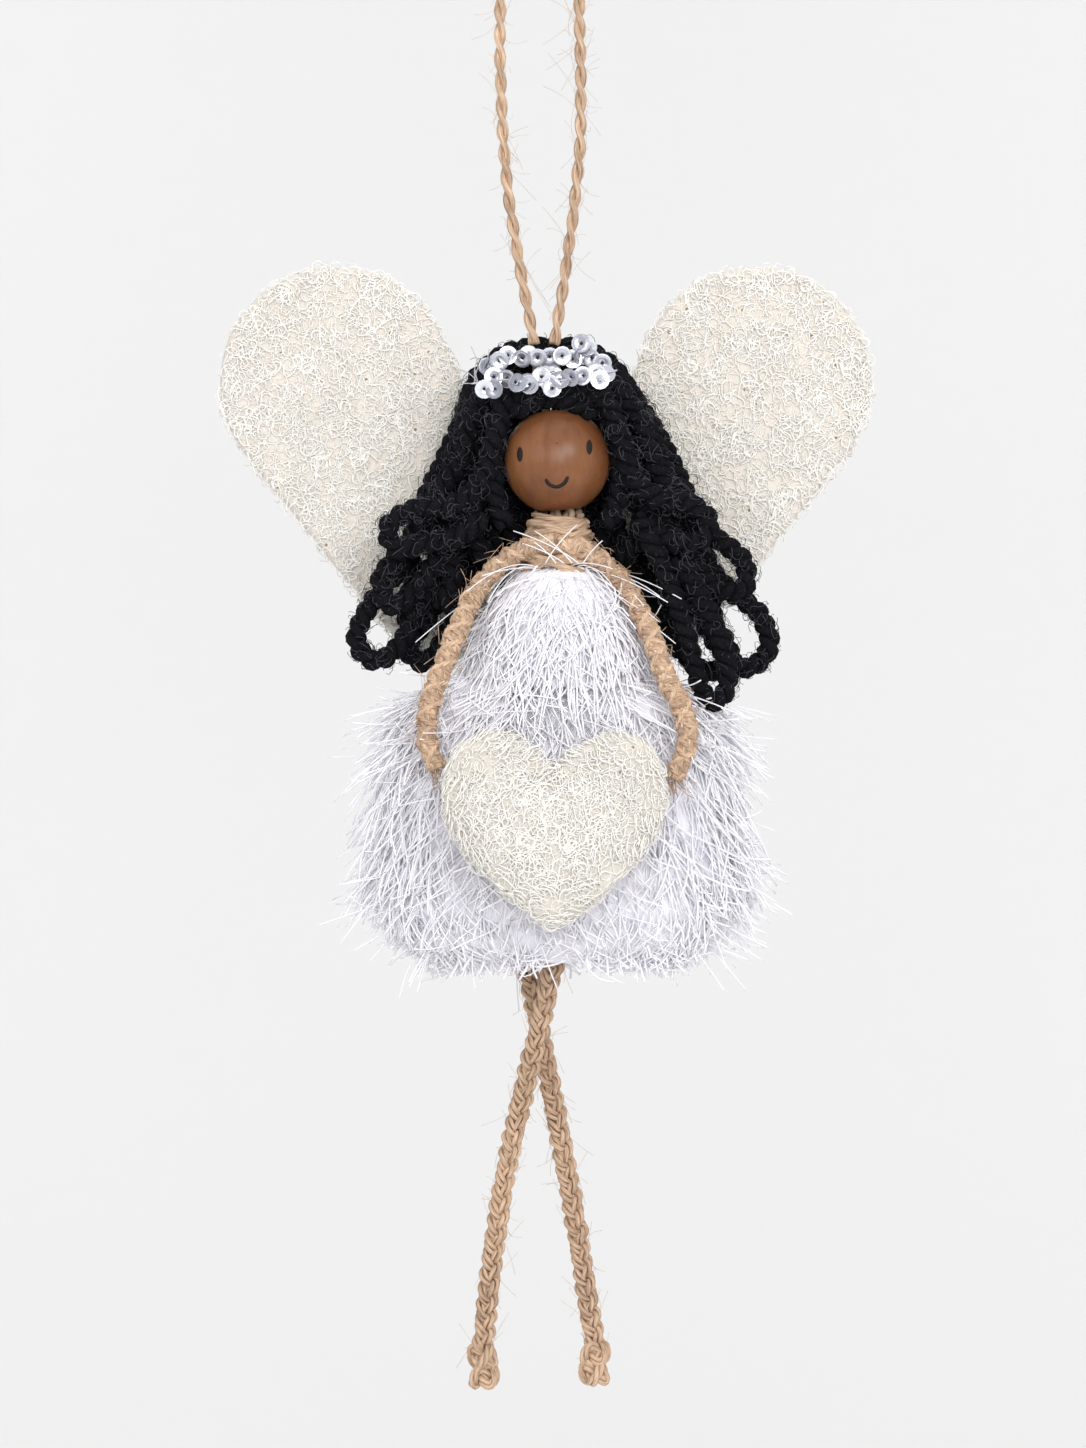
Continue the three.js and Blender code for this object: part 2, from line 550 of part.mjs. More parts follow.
// Each leg's places across and how far they are below the hips.
const frontLeg = [[2.4, 0], [1.6, 3.3], [0.1, 10], [-1.5, 16.7], [-4.2, 28], [-6.6, 41.5], [-8.2, 55], [-8.5, 58.3]];
const rearLeg = [[-2.3, 0], [-1.6, 3.3], [-0.4, 10], [0.9, 16.7], [3.1, 28], [5.5, 41.5], [7.6, 55], [8.2, 58.3]];
for (const [name, route, depth] of [
  ["front", frontLeg, -LEG_APART / 2],
  ["rear", rearLeg, LEG_APART / 2],
]) {
  const points = route.map(([x, drop]) => [x, depth, hipZ - drop]);
  const [footX, , footZ] = points.at(-1);
  piece(`leg_${name}`, joined(cord(points, LEG_RADIUS, 12), ball(points[0], LEG_RADIUS)), twine);
  const knot = turned(knotForm.map(([r, z]) => [r * KNOT_RADIUS, (z - 1) * KNOT_HEIGHT]), 14);
  piece(`foot_knot_${name}`, knot, twine).position.set(footX, depth, footZ - GAP);
}

export default ornament;
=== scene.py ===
"""Dresses the solid model of a hanging angel ornament: twine, bead, hair, tiara, fringe, felt and braid."""

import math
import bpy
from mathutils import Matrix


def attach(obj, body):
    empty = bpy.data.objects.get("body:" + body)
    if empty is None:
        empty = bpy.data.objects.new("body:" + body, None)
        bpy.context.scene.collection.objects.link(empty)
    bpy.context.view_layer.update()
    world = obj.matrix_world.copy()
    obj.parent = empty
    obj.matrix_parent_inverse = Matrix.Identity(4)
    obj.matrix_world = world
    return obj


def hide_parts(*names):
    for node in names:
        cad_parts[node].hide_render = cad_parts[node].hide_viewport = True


bl_info = {
    "name": "Angel ornament",
    "version": (1, 0, 0),
    "blender": (4, 5, 0),
    "location": "View3D > Sidebar > Ornament",
    "description": "Makes the visible pieces of a hanging angel ornament around its solid model",
    "category": "Object",
}

import bpy
import numpy as np
from mathutils import Vector

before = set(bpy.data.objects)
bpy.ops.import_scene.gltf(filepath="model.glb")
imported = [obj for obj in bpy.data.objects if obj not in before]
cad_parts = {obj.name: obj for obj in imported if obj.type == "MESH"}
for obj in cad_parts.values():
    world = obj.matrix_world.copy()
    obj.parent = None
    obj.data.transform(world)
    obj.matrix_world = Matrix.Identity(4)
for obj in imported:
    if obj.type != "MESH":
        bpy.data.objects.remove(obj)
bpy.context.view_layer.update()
MM = 0.001
TURN = 2 * math.pi
X_AXIS = np.array([1.0, 0.0, 0.0])
Y_AXIS = np.array([0.0, 1.0, 0.0])
Z_AXIS = np.array([0.0, 0.0, 1.0])

# Routes of the cords, in millimetres
LOOP_ROUTE = [
    (-0.85, 0, -59.1), (-2.1, 0, -52.5), (-3.4, 0, -45.3), (-5, 0, -34.6), (-5.8, 0, -22.4), (-6, 0, -10.5),
    (-5.6, 0, -4.2), (-3.4, 0, -0.4), (0, 0, 0.9), (3.4, 0, -0.4), (5.5, 0, -4.2), (5.9, 0, -10.5),
    (6.1, 0, -21.3), (6, 0, -28.8), (5.1, 0, -38.5), (4, 0, -46.8), (2.15, 0, -59.1),
]
TAIL_ROUTES = [
    [(-0.85, 0, -60.3), (0.69, 0, -68.69), (1.5, 0, -76.65), (2.31, 0, -84.61), (2.13, 0, -86.61)],
    [(2.15, 0, -60.3), (2.79, 0, -68.69), (3.6, 0, -76.65), (4.41, 0, -84.61), (3.27, 0, -86.61)],
]
HAIR_PITCH = 3.45
HAIR_LEFT = [
    [(1.2, -65.4), (-4.8, -67.2), (-6.9, -73.5), (-8.7, -79.8), (-13.2, -83.4), (-18.8, -84), (-22.8, -86.8),
     (-21.6, -89.8), (-16.8, -89.2), (-11.7, -87.9), (-8.1, -84.9)],
    [(-1.8, -64.5), (-7.2, -66.3), (-10.5, -71.7), (-12.3, -77.4), (-15.9, -82.5), (-19.8, -88.8),
     (-24, -94.8), (-22.2, -98.4), (-18.3, -95.7), (-15, -90.3), (-11.4, -85.5), (-8.4, -81),
     (-7.5, -77.1)],
    [(1.2, -60.3), (-4.8, -61.2), (-8.8, -65), (-11.4, -71.4), (-13.5, -79.2), (-17.4, -87),
     (-21.6, -93.3), (-26.1, -99), (-27.6, -103.8), (-24.9, -106.6), (-21.3, -104.4), (-18.6, -98.7),
     (-14.7, -91.8), (-10.5, -85.8), (-8.1, -80.4)],
    [(1.2, -61.2), (-4.6, -62.2), (-8.2, -66.4), (-9.6, -72.3), (-10.5, -79.8), (-11.7, -87.3),
     (-14.1, -94.5), (-17.4, -100.6), (-20, -104.8), (-17.6, -106.9), (-14.3, -103), (-10.5, -96),
     (-7.5, -89.4), (-6.3, -83.4)],
    [(1.2, -66.9), (-4.8, -67.8), (-6.6, -73.5), (-6.6, -81), (-6, -88.5), (-5.4, -94.5), (-3.3, -97.2),
     (-0.6, -94.8), (-0.3, -88.5), (-0.3, -82.5)],
]
HAIR_RIGHT = [
    [(2.3, -65.4), (9, -66.9), (12, -72.9), (13.8, -79.2), (17.7, -82.5), (22.8, -83.4), (25.5, -86.1),
     (23.1, -89.2), (18, -88.2), (14.1, -85.2)],
    [(4.6, -64.5), (11.4, -66.3), (15, -71.4), (17.1, -77.1), (21, -82.8), (26.1, -87.9), (30.6, -91.8),
     (30.6, -95.7), (26.4, -96), (22.5, -91.5), (18.9, -86.4), (15, -81.6), (12.9, -77.4)],
    [(2.3, -60.3), (8.2, -61), (12.6, -64.8), (15.8, -71.2), (18.6, -79.5), (22.8, -88.2), (27.9, -95.4),
     (33, -99.6), (34.5, -104.7), (31.2, -107.7), (27.3, -105), (23.7, -99), (19.8, -92.4),
     (15.9, -86.4), (13.8, -81)],
    [(2.3, -61.2), (8.4, -62), (12.4, -66.2), (14, -72.3), (15.3, -80.4), (18.6, -90.3), (22.8, -98.3),
     (27.4, -102.6), (28.6, -106.2), (25.4, -108.2), (22.2, -106), (18.8, -101.6), (15.3, -96),
     (12.3, -89.7), (11.1, -83.4)],
    [(2.3, -66.9), (9.3, -67.8), (11.4, -73.5), (11.1, -81), (10.2, -88.5), (9.3, -94.5), (7.2, -97.2),
     (4.5, -94.8), (4.2, -88.5), (4.2, -82.5)],
]
BODY_X = 2.7
HAIR_FILL = [  # depth in millimetres, then points across and up
    (-1.7, [(0.9, -66.3), (-4.2, -67.8), (-6.2, -72), (-6.9, -77.3), (-6.6, -82.5), (-5.1, -86.7)]),
    (1.7, [(0, -65.3), (-6.3, -66.9), (-9, -71.7), (-10.2, -77.7), (-10.5, -84), (-9.3, -89.3),
           (-7.2, -91.5)]),
    (1.7, [(-0.6, -64.5), (-7.8, -66.3), (-11.1, -71.1), (-13.2, -77.1), (-14.4, -83.3), (-14.1, -89.3),
           (-13.2, -94.5), (-15, -99)]),
    (5.2, [(-1.5, -63.3), (-9, -65.4), (-11.7, -70.5), (-14.4, -76.2), (-17.4, -82.5), (-19.2, -89.3),
           (-19.5, -95.3), (-20.4, -101.3)]),
    (8.6, [(-3, -62.7), (-9.6, -65.1), (-12, -71.1), (-13.2, -78), (-12.6, -85.5), (-10.5, -91.5),
           (-11.7, -96)]),
    (5.2, [(1.2, -67.5), (-3, -69.8), (-4.8, -75), (-5.3, -81), (-4.2, -87), (-3, -91.5)]),
    (-1.7, [(2.4, -66.3), (8.4, -67.8), (11.1, -72), (12.2, -77.3), (11.7, -82.5), (9.9, -86.7)]),
    (1.7, [(3.3, -65.3), (9.9, -66.6), (13.5, -71.3), (15.3, -77.7), (15.6, -84), (14.1, -89.3),
           (11.7, -91.8)]),
    (1.7, [(3.9, -64.5), (11.1, -66), (15.6, -70.8), (18.3, -77.1), (19.8, -83.3), (20.4, -89.3),
           (19.2, -95.3), (20.4, -100.5)]),
    (5.2, [(4.8, -63.3), (12.3, -65.4), (16.5, -70.5), (19.8, -76.5), (22.8, -83.3), (24.9, -90),
           (25.8, -96.8), (26.4, -103.5)]),
    (8.6, [(6.3, -62.7), (12.9, -65.1), (16.2, -71.1), (17.7, -78), (17.4, -85.5), (15.6, -91.5),
           (16.8, -96.8)]),
    (5.2, [(2.4, -67.5), (7.8, -69.8), (10.2, -75), (10.8, -81), (9.6, -87), (8.4, -91.5)]),
    (-5.2, [(15.6, -87.4), (18.9, -94), (21.4, -101), (23.2, -108), (24.6, -112), (26.4, -112.8), (28, -110),
            (27.3, -104.6), (24.4, -98), (20.6, -91)]),
    (5.0, [(-10.8, -68.5), (-9.5, -64), (-5.2, -60.3), (0.9, -59.2), (7.5, -60), (11.7, -63.2), (14.4, -68)]),
    (7.6, [(-11.1, -69.5), (-9.2, -64.6), (-4.6, -61.2), (1.2, -60.4), (7.8, -61.2), (12.3, -64.6),
           (15.6, -69.5)]),
    (2.6, [(-10.8, -66.6), (-7.5, -63.8), (-1.5, -62.2), (4.5, -62.1), (9.8, -63.3), (13.8, -66.6)]),
    (-2.8, [(-4.4, -69.8), (-1.6, -68.2), (1.7, -67.4), (5, -68.1), (8.5, -69.8)]),
    (-2.9, [(-3.3, -66.6), (0, -65.6), (2.4, -65.3), (5.3, -65.7), (7.8, -66.6)]),
    (8.7, [(-5.4, -63.8), (-5.7, -76), (-5.4, -84), (-4.9, -92)]),
    (8.7, [(-2.5, -62.6), (-2.8, -75), (-2.6, -82.5), (-2.1, -91.5)]),
    (8.7, [(0.2, -62.1), (0.1, -75), (0.2, -82.5), (0.4, -91.5)]),
    (8.7, [(2.9, -62.1), (3, -75), (3, -82.5), (3, -91.5)]),
    (8.7, [(5.7, -62.6), (5.9, -75), (5.8, -82.5), (5.6, -91.5)]),
    (8.7, [(8.5, -63.8), (8.8, -76), (8.6, -84), (8.2, -92)]),
]
NECK_WRAPS = [  # height, radius, slant, turns and starting angle
    (-85.6, 3.6, 0.1, 1.3, 3.7), (-86.2, 3.8, 0.1, 1.3, 1.9), (-86.6, 3.9, 0.0, 1.3, 2.0),
    (-87.8, 4.0, 0.05, 1.3, 3.6), (-89.0, 4.3, -0.05, 1.3, 5.0), (-90.3, 4.8, 0.05, 1.3, 0.9),
    (-91.7, 5.4, 0.0, 1.3, 2.2), (-86.4, 4.2, 0.3, 1.2, 2.2), (-87.6, 4.4, -0.34, 1.2, 2.0),
    (-88.8, 4.6, 0.42, 1.2, 1.4), (-90.0, 5.0, -0.42, 1.2, 1.6), (-90.8, 5.4, 0.4, 1.2, 1.8),
    (-91.6, 5.7, -0.36, 1.2, 1.3)]
TIARA_UPPER = [
    (-9, -2.1, -63.3), (-4.5, -2.1, -61.2), (1.2, -2.1, -60.9), (6.8, -2.1, -61), (10.8, -2.1, -62.7)]
TIARA_LOWER = [
    (-10.2, -6.15, -65.4), (-5.2, -6.15, -64.8), (0.8, -6.15, -65.1), (6, -6.15, -64.5), (11.5, -6.15, -63.4)]
ARM_LEFT = [
    (2.2, -4.6, -88.9), (-1.2, -4.4, -89.6), (-4.2, -3.4, -91), (-7.4, -3.6, -93.6), (-10.5, -6.6, -98.2),
    (-13.9, -11.5, -106.5), (-16.5, -14, -114), (-16.5, -15, -119.2), (-15, -15.2, -122.7)]
ARM_RIGHT = [
    (2.6, -5.2, -89.3), (6.2, -4.6, -89.9), (9.4, -3.6, -92), (12.2, -4, -95), (15.8, -6.8, -101.2),
    (18.8, -11.9, -109.5), (21.4, -14.5, -114.8), (21.8, -15.5, -118.5), (19.8, -15.75, -124.2)]
ARM_WRAPS = [  # length of a turn and radius in millimetres, then the starting share of a turn
    (4.4, 1.24, 0.0), (4.4, 1.24, 0.33), (4.4, 1.24, 0.67), (-6.8, 1.32, 0.2), (-6.8, 1.32, 0.7)]
LEG_FRONT = [(2.4, -2.1, -150.5), (1.6, -2.1, -153.8), (0.1, -2.1, -160.5), (-1.5, -2.1, -167.2),
             (-4.2, -2.1, -178.5), (-6.6, -2.1, -192), (-8.2, -2.1, -205.5), (-8.5, -2.1, -208.8)]
LEG_REAR = [(-2.3, 2.1, -150.5), (-1.6, 2.1, -153.8), (-0.4, 2.1, -160.5), (0.9, 2.1, -167.2),
            (3.1, 2.1, -178.5), (5.5, 2.1, -192), (7.6, 2.1, -205.5), (8.2, 2.1, -208.8)]


def linear(red, green, blue):
    """A colour given in 0 to 255 display values, as scene linear values: the usual display curve undone."""
    shown = np.array([red, green, blue]) / 255
    return tuple(np.where(shown <= 0.04045, shown / 12.92, ((shown + 0.055) / 1.055) ** 2.4))


def length_property(name, description, millimetres):
    """A length that a user can set."""
    return bpy.props.FloatProperty(
        name=name, description=description, default=millimetres * MM, min=0.0, precision=5, unit="LENGTH")


def colour_property(name, description, red, green, blue):
    """A colour that a user can set, with its default in display values."""
    return bpy.props.FloatVectorProperty(
        name=name, description=description, default=linear(red, green, blue), size=3, min=0.0, max=1.0,
        subtype="COLOR")


def count_property(name, description, count):
    """A number of repeats that a user can set."""
    return bpy.props.IntProperty(name=name, description=description, default=count, min=1)


class TwineSettings(bpy.types.PropertyGroup):
    """Tan twine of the hanging loop, the neck, the arms and the legs."""

    diameter: length_property("Loop diameter", "Thickness of the hanging twine", 1.8)
    pitch: length_property("Lay", "Length of one full turn of the two plies", 7.2)
    thin_radius: length_property("Thin radius", "Radius of the twine wound on the neck and arms", 0.62)
    # Dark is painted shade in the grooves between the fibres as well as their own darker tone; light is the
    # raised fibres' colour.
    dark: colour_property("Dark", "Colour between the fibres", 92, 61, 38)
    light: colour_property("Light", "Colour of the raised fibres", 250, 216, 184)
    fuzz: count_property("Stray fibres", "Stray fibres along the hanging loop", 260)


class HeadSettings(bpy.types.PropertyGroup):
    """Stained wooden bead with its painted face."""

    radius: length_property("Radius", "Radius of the bead", 8)
    bore: length_property("Bore", "Radius of the hole through the bead", 2.4)
    stain: colour_property("Stain", "Middle colour of the stained wood", 134, 87, 54)
    deep_stain: colour_property("Deep stain", "Colour of the darker grain", 104, 61, 34)
    paint: colour_property("Paint", "Colour of eyes and smile", 30, 24, 22)


class HairSettings(bpy.types.PropertyGroup):
    """Black chenille cords laid over the head."""

    radius: length_property("Cord radius", "Outer radius of a twisted cord", 1.62)
    pitch: length_property("Lay", "Length of one full turn of the two plies", 4.3)
    pile: colour_property("Pile", "Colour of the velvet pile", 34, 34, 39)
    fuzz_tone: colour_property("Fuzz", "Colour of the loose curls", 98, 99, 107)
    fuzz: count_property("Curls", "Loose curls on ten centimetres of lock", 460)


class TiaraSettings(bpy.types.PropertyGroup):
    """Strings of cup sequins across the hair."""

    sequin_radius: length_property("Sequin radius", "Radius of a cup sequin", 1.48)
    spacing: length_property("Spacing", "Distance between sequins along the thread", 1.65)
    silver: colour_property("Silver", "Colour of the sequins", 226, 228, 238)


class DressSettings(bpy.types.PropertyGroup):
    """White eyelash fringe in two tiers over an inner bell."""

    fibre_radius: length_property("Fibre radius", "Radius of one fringe fibre", 0.2)
    white: colour_property("White", "Colour of the fibres", 253, 252, 255)
    # Painted shade: the inner yarn is a little darker and more lavender than the fibres, standing for the
    # shade deep in the fringe.
    shade: colour_property("Shade", "Colour of the yarn deep in the fringe", 245, 243, 250)
    skirt_fibres: count_property("Skirt fibres", "Fibres in each of the skirt's rounds", 1100)
    hem_fibres: count_property("Hem fibres", "Straight fibres that hang from the hem", 460)
    bodice_fibres: count_property("Bodice fibres", "Fibres in the bodice", 1350)
    lashes: count_property("Lashes", "Single fibres standing off the skirt", 560)
    glitter: count_property("Glitter", "Small bright flakes caught in the fringe", 260)


class FeltSettings(bpy.types.PropertyGroup):
    """Cream felt of the wings and the heart."""

    cream: colour_property("Cream", "Colour of the felt", 224, 217, 208)
    # The hollow colours are painted shade: the felt is drawn darker in the low places of its lumps, which
    # show between the loops.
    hollow_shade: colour_property("Hollow", "Colour between the loops", 215, 208, 198)
    loop_radius: length_property("Loop radius", "Middle radius of a surface loop of fibre", 0.95)
    heart: colour_property("Heart", "Colour of the heart's felt", 214, 208, 200)
    heart_hollow_shade: colour_property("Heart hollow", "Colour between the heart's loops", 207, 201, 192)
    wing_loops: count_property("Wing loops", "Loops on the front of a wing", 2500)
    heart_loops: count_property("Heart loops", "Loops on the front of the heart", 1450)


class StageSettings(bpy.types.PropertyGroup):
    """Camera, lights and backdrop."""

    backdrop: colour_property("Backdrop", "Colour of floor and wall", 232, 232, 232)
    lens: bpy.props.FloatProperty(
        name="Lens", description="Focal length in millimetres", default=150.0, min=10.0, unit="CAMERA")
    distance: length_property("Distance", "Camera to the ornament's middle plane", 905)


# Surfaces and tubes


def unit(vectors):
    """Vectors divided by their lengths."""
    return vectors / np.maximum(np.linalg.norm(vectors, axis=-1, keepdims=True), 1e-12)


def smooth_route(points, step):
    """Even points along the centripetal Catmull-Rom curve through points in millimetres.

    Each span is the cubic that leaves and arrives with slopes weighted by the square roots of its neighbours'
    lengths. The points come out in metres, about step apart.
    """
    knots = np.asarray(points, float) * MM
    knots = np.vstack([2 * knots[0] - knots[1], knots, 2 * knots[-1] - knots[-2]])
    gaps = np.sqrt(np.linalg.norm(np.diff(knots, axis=0), axis=1))[:, None]
    before, here, there, after = knots[:-3], knots[1:-2], knots[2:-1], knots[3:]
    first, middle, last = gaps[:-2], gaps[1:-1], gaps[2:]
    step_on = (there - here) / middle
    leave = middle * ((here - before) / first - (there - before) / (first + middle) + step_on)
    arrive = middle * (step_on - (after - here) / (middle + last) + (after - there) / last)
    here, there, leave, arrive = (a[:, None] for a in (here, there, leave, arrive))
    t = np.linspace(0, 1, 40, endpoint=False)[None, :, None]
    curve = here + leave * t + (3 * (there - here) - 2 * leave - arrive) * t**2
    curve = curve + (2 * (here - there) + leave + arrive) * t**3
    return evenly(np.vstack([curve.reshape(-1, 3), knots[-2]]), step)


def evenly(line, step):
    """The same line with its points an even distance apart, about step."""
    travelled = np.concatenate([[0], np.cumsum(np.linalg.norm(np.diff(line, axis=0), axis=1))])
    at = np.linspace(0, travelled[-1], max(2, round(travelled[-1] / step)) + 1)
    return np.stack([np.interp(at, travelled, line[:, k]) for k in range(3)], axis=1)


def travel(paths):
    """Distance along each path at each of its points."""
    steps = np.linalg.norm(np.diff(paths, axis=-2), axis=-1)
    return np.concatenate([np.zeros(steps.shape[:-1] + (1,)), np.cumsum(steps, axis=-1)], axis=-1)


def axes_along(paths, reference):
    """Ahead, side and up at each point: up is the reference made square to ahead, side is ahead cross up."""
    ahead = unit(np.gradient(paths, axis=-2))
    reference = np.broadcast_to(reference, paths.shape)
    up = unit(reference - np.sum(reference * ahead, axis=-1, keepdims=True) * ahead)
    return ahead, np.cross(ahead, up), up


def tubes(paths, radius, reference, sides=8, tone=0.5):
    """Tubes along many paths at once, shape (tubes, points, 3).

    A corner is path + radius * (cos a * side + sin a * up), with a stepping once round the section. The
    strand attribute holds the section's place and the distance along, for grain that follows the tube.
    """
    paths = np.asarray(paths, float)
    paths = paths[None] if paths.ndim == 2 else paths
    many, points = paths.shape[:2]
    _, side, up = axes_along(paths, reference)
    radius = np.asarray(radius, float)
    radius = radius if radius.ndim == 3 else np.broadcast_to(radius, (many, points))[..., None]
    angle = TURN * np.arange(sides) / sides
    across = radius * np.cos(angle)
    over = radius * np.sin(angle)
    corners = paths[:, :, None] + across[..., None] * side[:, :, None] + over[..., None] * up[:, :, None]
    along = np.broadcast_to(travel(paths)[..., None], across.shape)
    place = np.arange(many * points * sides).reshape(many, points, sides)
    turned = np.roll(place, -1, axis=2)
    walls = np.stack([place[:, :-1], place[:, 1:], turned[:, 1:], turned[:, :-1]], axis=-1).reshape(-1, 4)
    tone = np.broadcast_to(np.asarray(tone, float).reshape(-1, 1, 1), across.shape)
    return {
        "points": corners.reshape(-1, 3),
        "faces": [walls, place[:, 0], place[:, -1, ::-1]],
        "strand": np.stack([across, over, along], axis=-1).reshape(-1, 3),
        "tone": tone.reshape(-1),
    }


def grid(points, wrap=(True, False), tone=0.5):
    """A surface over a grid of points, shape (rows, columns, 3), with rows or columns that may close."""
    rows, columns = points.shape[:2]
    place = np.arange(rows * columns).reshape(rows, columns)
    place = np.concatenate([place, place[:1]], axis=0) if wrap[0] else place
    place = np.concatenate([place, place[:, :1]], axis=1) if wrap[1] else place
    faces = np.stack([place[:-1, :-1], place[1:, :-1], place[1:, 1:], place[:-1, 1:]], axis=-1).reshape(-1, 4)
    return {
        "points": points.reshape(-1, 3),
        "faces": [faces],
        "strand": points.reshape(-1, 3),
        "tone": np.full(rows * columns, tone),
    }


def polar(rings, low_pole, high_pole, tone=0.5):
    """A closed surface over rings of points, shape (rings, around, 3), with a pole at each end."""
    count, around = rings.shape[:2]
    part = grid(np.swapaxes(rings, 0, 1), (True, False), tone)
    order = np.arange(count * around).reshape(around, count)
    first = count * around
    start, end = order[:, 0], order[:, -1]
    fans = [
        np.stack([np.full(around, first), np.roll(start, -1), start], axis=-1),
        np.stack([np.full(around, first + 1), end, np.roll(end, -1)], axis=-1),
    ]
    poles = np.array([low_pole, high_pole], float)
    part["points"] = np.vstack([part["points"], poles])
    part["strand"] = np.vstack([part["strand"], poles])
    part["tone"] = np.concatenate([part["tone"], [tone, tone]])
    part["faces"] = part["faces"] + fans
    return part


def merged(parts):
    """Several parts as one, with their corners counted on."""
    starts = np.cumsum([0] + [len(part["points"]) for part in parts[:-1]])
    return {
        "points": np.vstack([part["points"] for part in parts]),
        "faces": [faces + start for part, start in zip(parts, starts) for faces in part["faces"]],
        "strand": np.vstack([part["strand"] for part in parts]),
        "tone": np.concatenate([part["tone"] for part in parts]),
    }


def put_mesh(name, part):
    """The part's arrays as a mesh with its strand and tone attributes."""
    faces = part["faces"]
    corners = np.concatenate([f.ravel() for f in faces]).astype(np.int32)
    counts = np.concatenate([np.full(len(f), f.shape[1]) for f in faces])
    starts = np.concatenate([[0], np.cumsum(counts)[:-1]]).astype(np.int32)
    mesh = bpy.data.meshes.new(name)
    mesh.vertices.add(len(part["points"]))
    mesh.vertices.foreach_set("co", part["points"].astype(np.float32).ravel())
    mesh.loops.add(len(corners))
    mesh.loops.foreach_set("vertex_index", corners)
    mesh.polygons.add(len(starts))
    mesh.polygons.foreach_set("loop_start", starts)
    mesh.update(calc_edges=True)
    mesh.shade_smooth()
    strand = mesh.attributes.new("strand", "FLOAT_VECTOR", "POINT")
    strand.data.foreach_set("vector", part["strand"].astype(np.float32).ravel())
    tone = mesh.attributes.new("tone", "FLOAT", "POINT")
    tone.data.foreach_set("value", part["tone"].astype(np.float32))
    if mesh.validate():
        raise RuntimeError(f"{name} has faulty faces")
    return mesh


def add_piece(name, part, material, body, replaces=()):
    """A finished piece: its mesh, its material, the body it rides on and the solids it stands for."""
    piece = bpy.data.objects.new(name, put_mesh(name, merged(part) if isinstance(part, list) else part))
    piece.data.materials.append(material)
    bpy.context.scene.collection.objects.link(piece)
    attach(piece, body)
    if replaces:
        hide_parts(*replaces)
    return piece


def plies(route, count, offset, pitch, reference, start=0.0):
    """Lines of the plies of a twisted cord.

    Ply k runs at offset from the route, at angle start + 2 pi (k / count + distance / pitch) round it.
    """
    _, side, up = axes_along(route, reference)
    angle = start + TURN * (np.arange(count)[:, None] / count + travel(route)[None] / pitch)
    return route + offset * (np.cos(angle)[..., None] * side + np.sin(angle)[..., None] * up)


def bent_fibres(roots, directions, lengths, bends, steps):
    """Fibres as parabolas: root + length * (t * direction + t squared * bend), t from 0 to 1."""
    t = np.linspace(0, 1, steps + 1)[None, :, None]
    reach = t * unit(directions)[:, None] + t**2 * bends[:, None]
    return roots[:, None] + np.reshape(lengths, (-1, 1, 1)) * reach


def curls(centres, normals, radii, sweeps, starts, lift, steps):
    """Open loops of fibre: arcs round their centres, square to each normal, with ends that dip by lift."""
    across = unit(np.cross(normals, np.where(np.abs(normals[:, :1]) < 0.8, X_AXIS, Z_AXIS)))
    over = np.cross(normals, across)
    t = np.linspace(0, 1, steps + 1)[None]
    angle = starts[:, None] + sweeps[:, None] * t
    grow = radii[:, None] * (1 + 0.25 * np.sin(2.3 * angle + starts[:, None]))
    rise = np.reshape(lift, (-1, 1)) * (1 - (2 * t - 1) ** 4)
    flat = np.cos(angle)[..., None] * across[:, None] + np.sin(angle)[..., None] * over[:, None]
    return centres[:, None] + grow[..., None] * flat + rise[..., None] * normals[:, None]


def ripple(points, wavelength, seed, waves=14):
    """A smooth uneven field between about -1 and 1: the mean of sines in random directions, scaled up."""
    rng = np.random.default_rng(seed)
    directions = unit(rng.normal(size=(waves, 3))) * TURN / wavelength * rng.uniform(0.6, 1.6, (waves, 1))
    phases = rng.uniform(0, TURN, waves)
    return np.sin(points @ directions.T + phases).mean(axis=-1) * 2.4


def fuzz_on(route, radius, count, lengths, seed, reference):
    """Stray fibres standing from a cord: each leaves its surface slanting along the cord, and bends."""
    rng = np.random.default_rng(seed)
    ahead, side, up = axes_along(route, reference)
    station = rng.integers(0, len(route), count)
    angle = rng.uniform(0, TURN, count)[:, None]
    out = np.cos(angle) * side[station] + np.sin(angle) * up[station]
    roots = route[station] + radius * out
    way = rng.choice([-1.0, 1.0], (count, 1))
    directions = out * rng.uniform(0.2, 0.9, (count, 1)) + way * ahead[station]
    bends = 0.45 * rng.normal(size=(count, 3))
    return bent_fibres(roots, directions, rng.uniform(*lengths, count), bends, 6)


def fluted(paths, radius, sides, flutes, pitch, depth):
    """Radius of a tube of spun fibres: radius * (1 + depth * cos(flutes * a + 2 pi * distance / pitch))."""
    paths = paths[None] if paths.ndim == 2 else paths
    angle = TURN * np.arange(sides) / sides
    wave = np.cos(flutes * angle[None, None] + TURN * travel(paths)[..., None] / pitch)
    return np.reshape(radius, (-1, 1, 1)) * (1 + depth * wave)


# Shader groups and finishes


def node(tree, kind, inputs=None, **settings):
    """A shader node with its settings; an input given as a socket is linked, anything else is its value."""
    made = tree.nodes.new(kind)
    for key, value in settings.items():
        setattr(made, key, value)
    for key, value in (inputs or {}).items():
        if isinstance(value, bpy.types.NodeSocket):
            tree.links.new(value, made.inputs[key])
        else:
            made.inputs[key].default_value = value
    return made


def group_tree(name, inputs, outputs):
    """A new shader group with named sockets, and its inner ends."""
    tree = bpy.data.node_groups.new(name, "ShaderNodeTree")
    for label, kind in inputs:
        tree.interface.new_socket(label, in_out="INPUT", socket_type="NodeSocket" + kind)
    for label, kind in outputs:
        tree.interface.new_socket(label, in_out="OUTPUT", socket_type="NodeSocket" + kind)
    return tree, tree.nodes.new("NodeGroupInput").outputs, tree.nodes.new("NodeGroupOutput").inputs


def value(tree, operation, *numbers, clamp=False):
    """The result of one step of arithmetic on sockets or plain numbers."""
    inputs = dict(enumerate(numbers))
    return node(tree, "ShaderNodeMath", inputs, operation=operation, use_clamp=clamp).outputs[0]


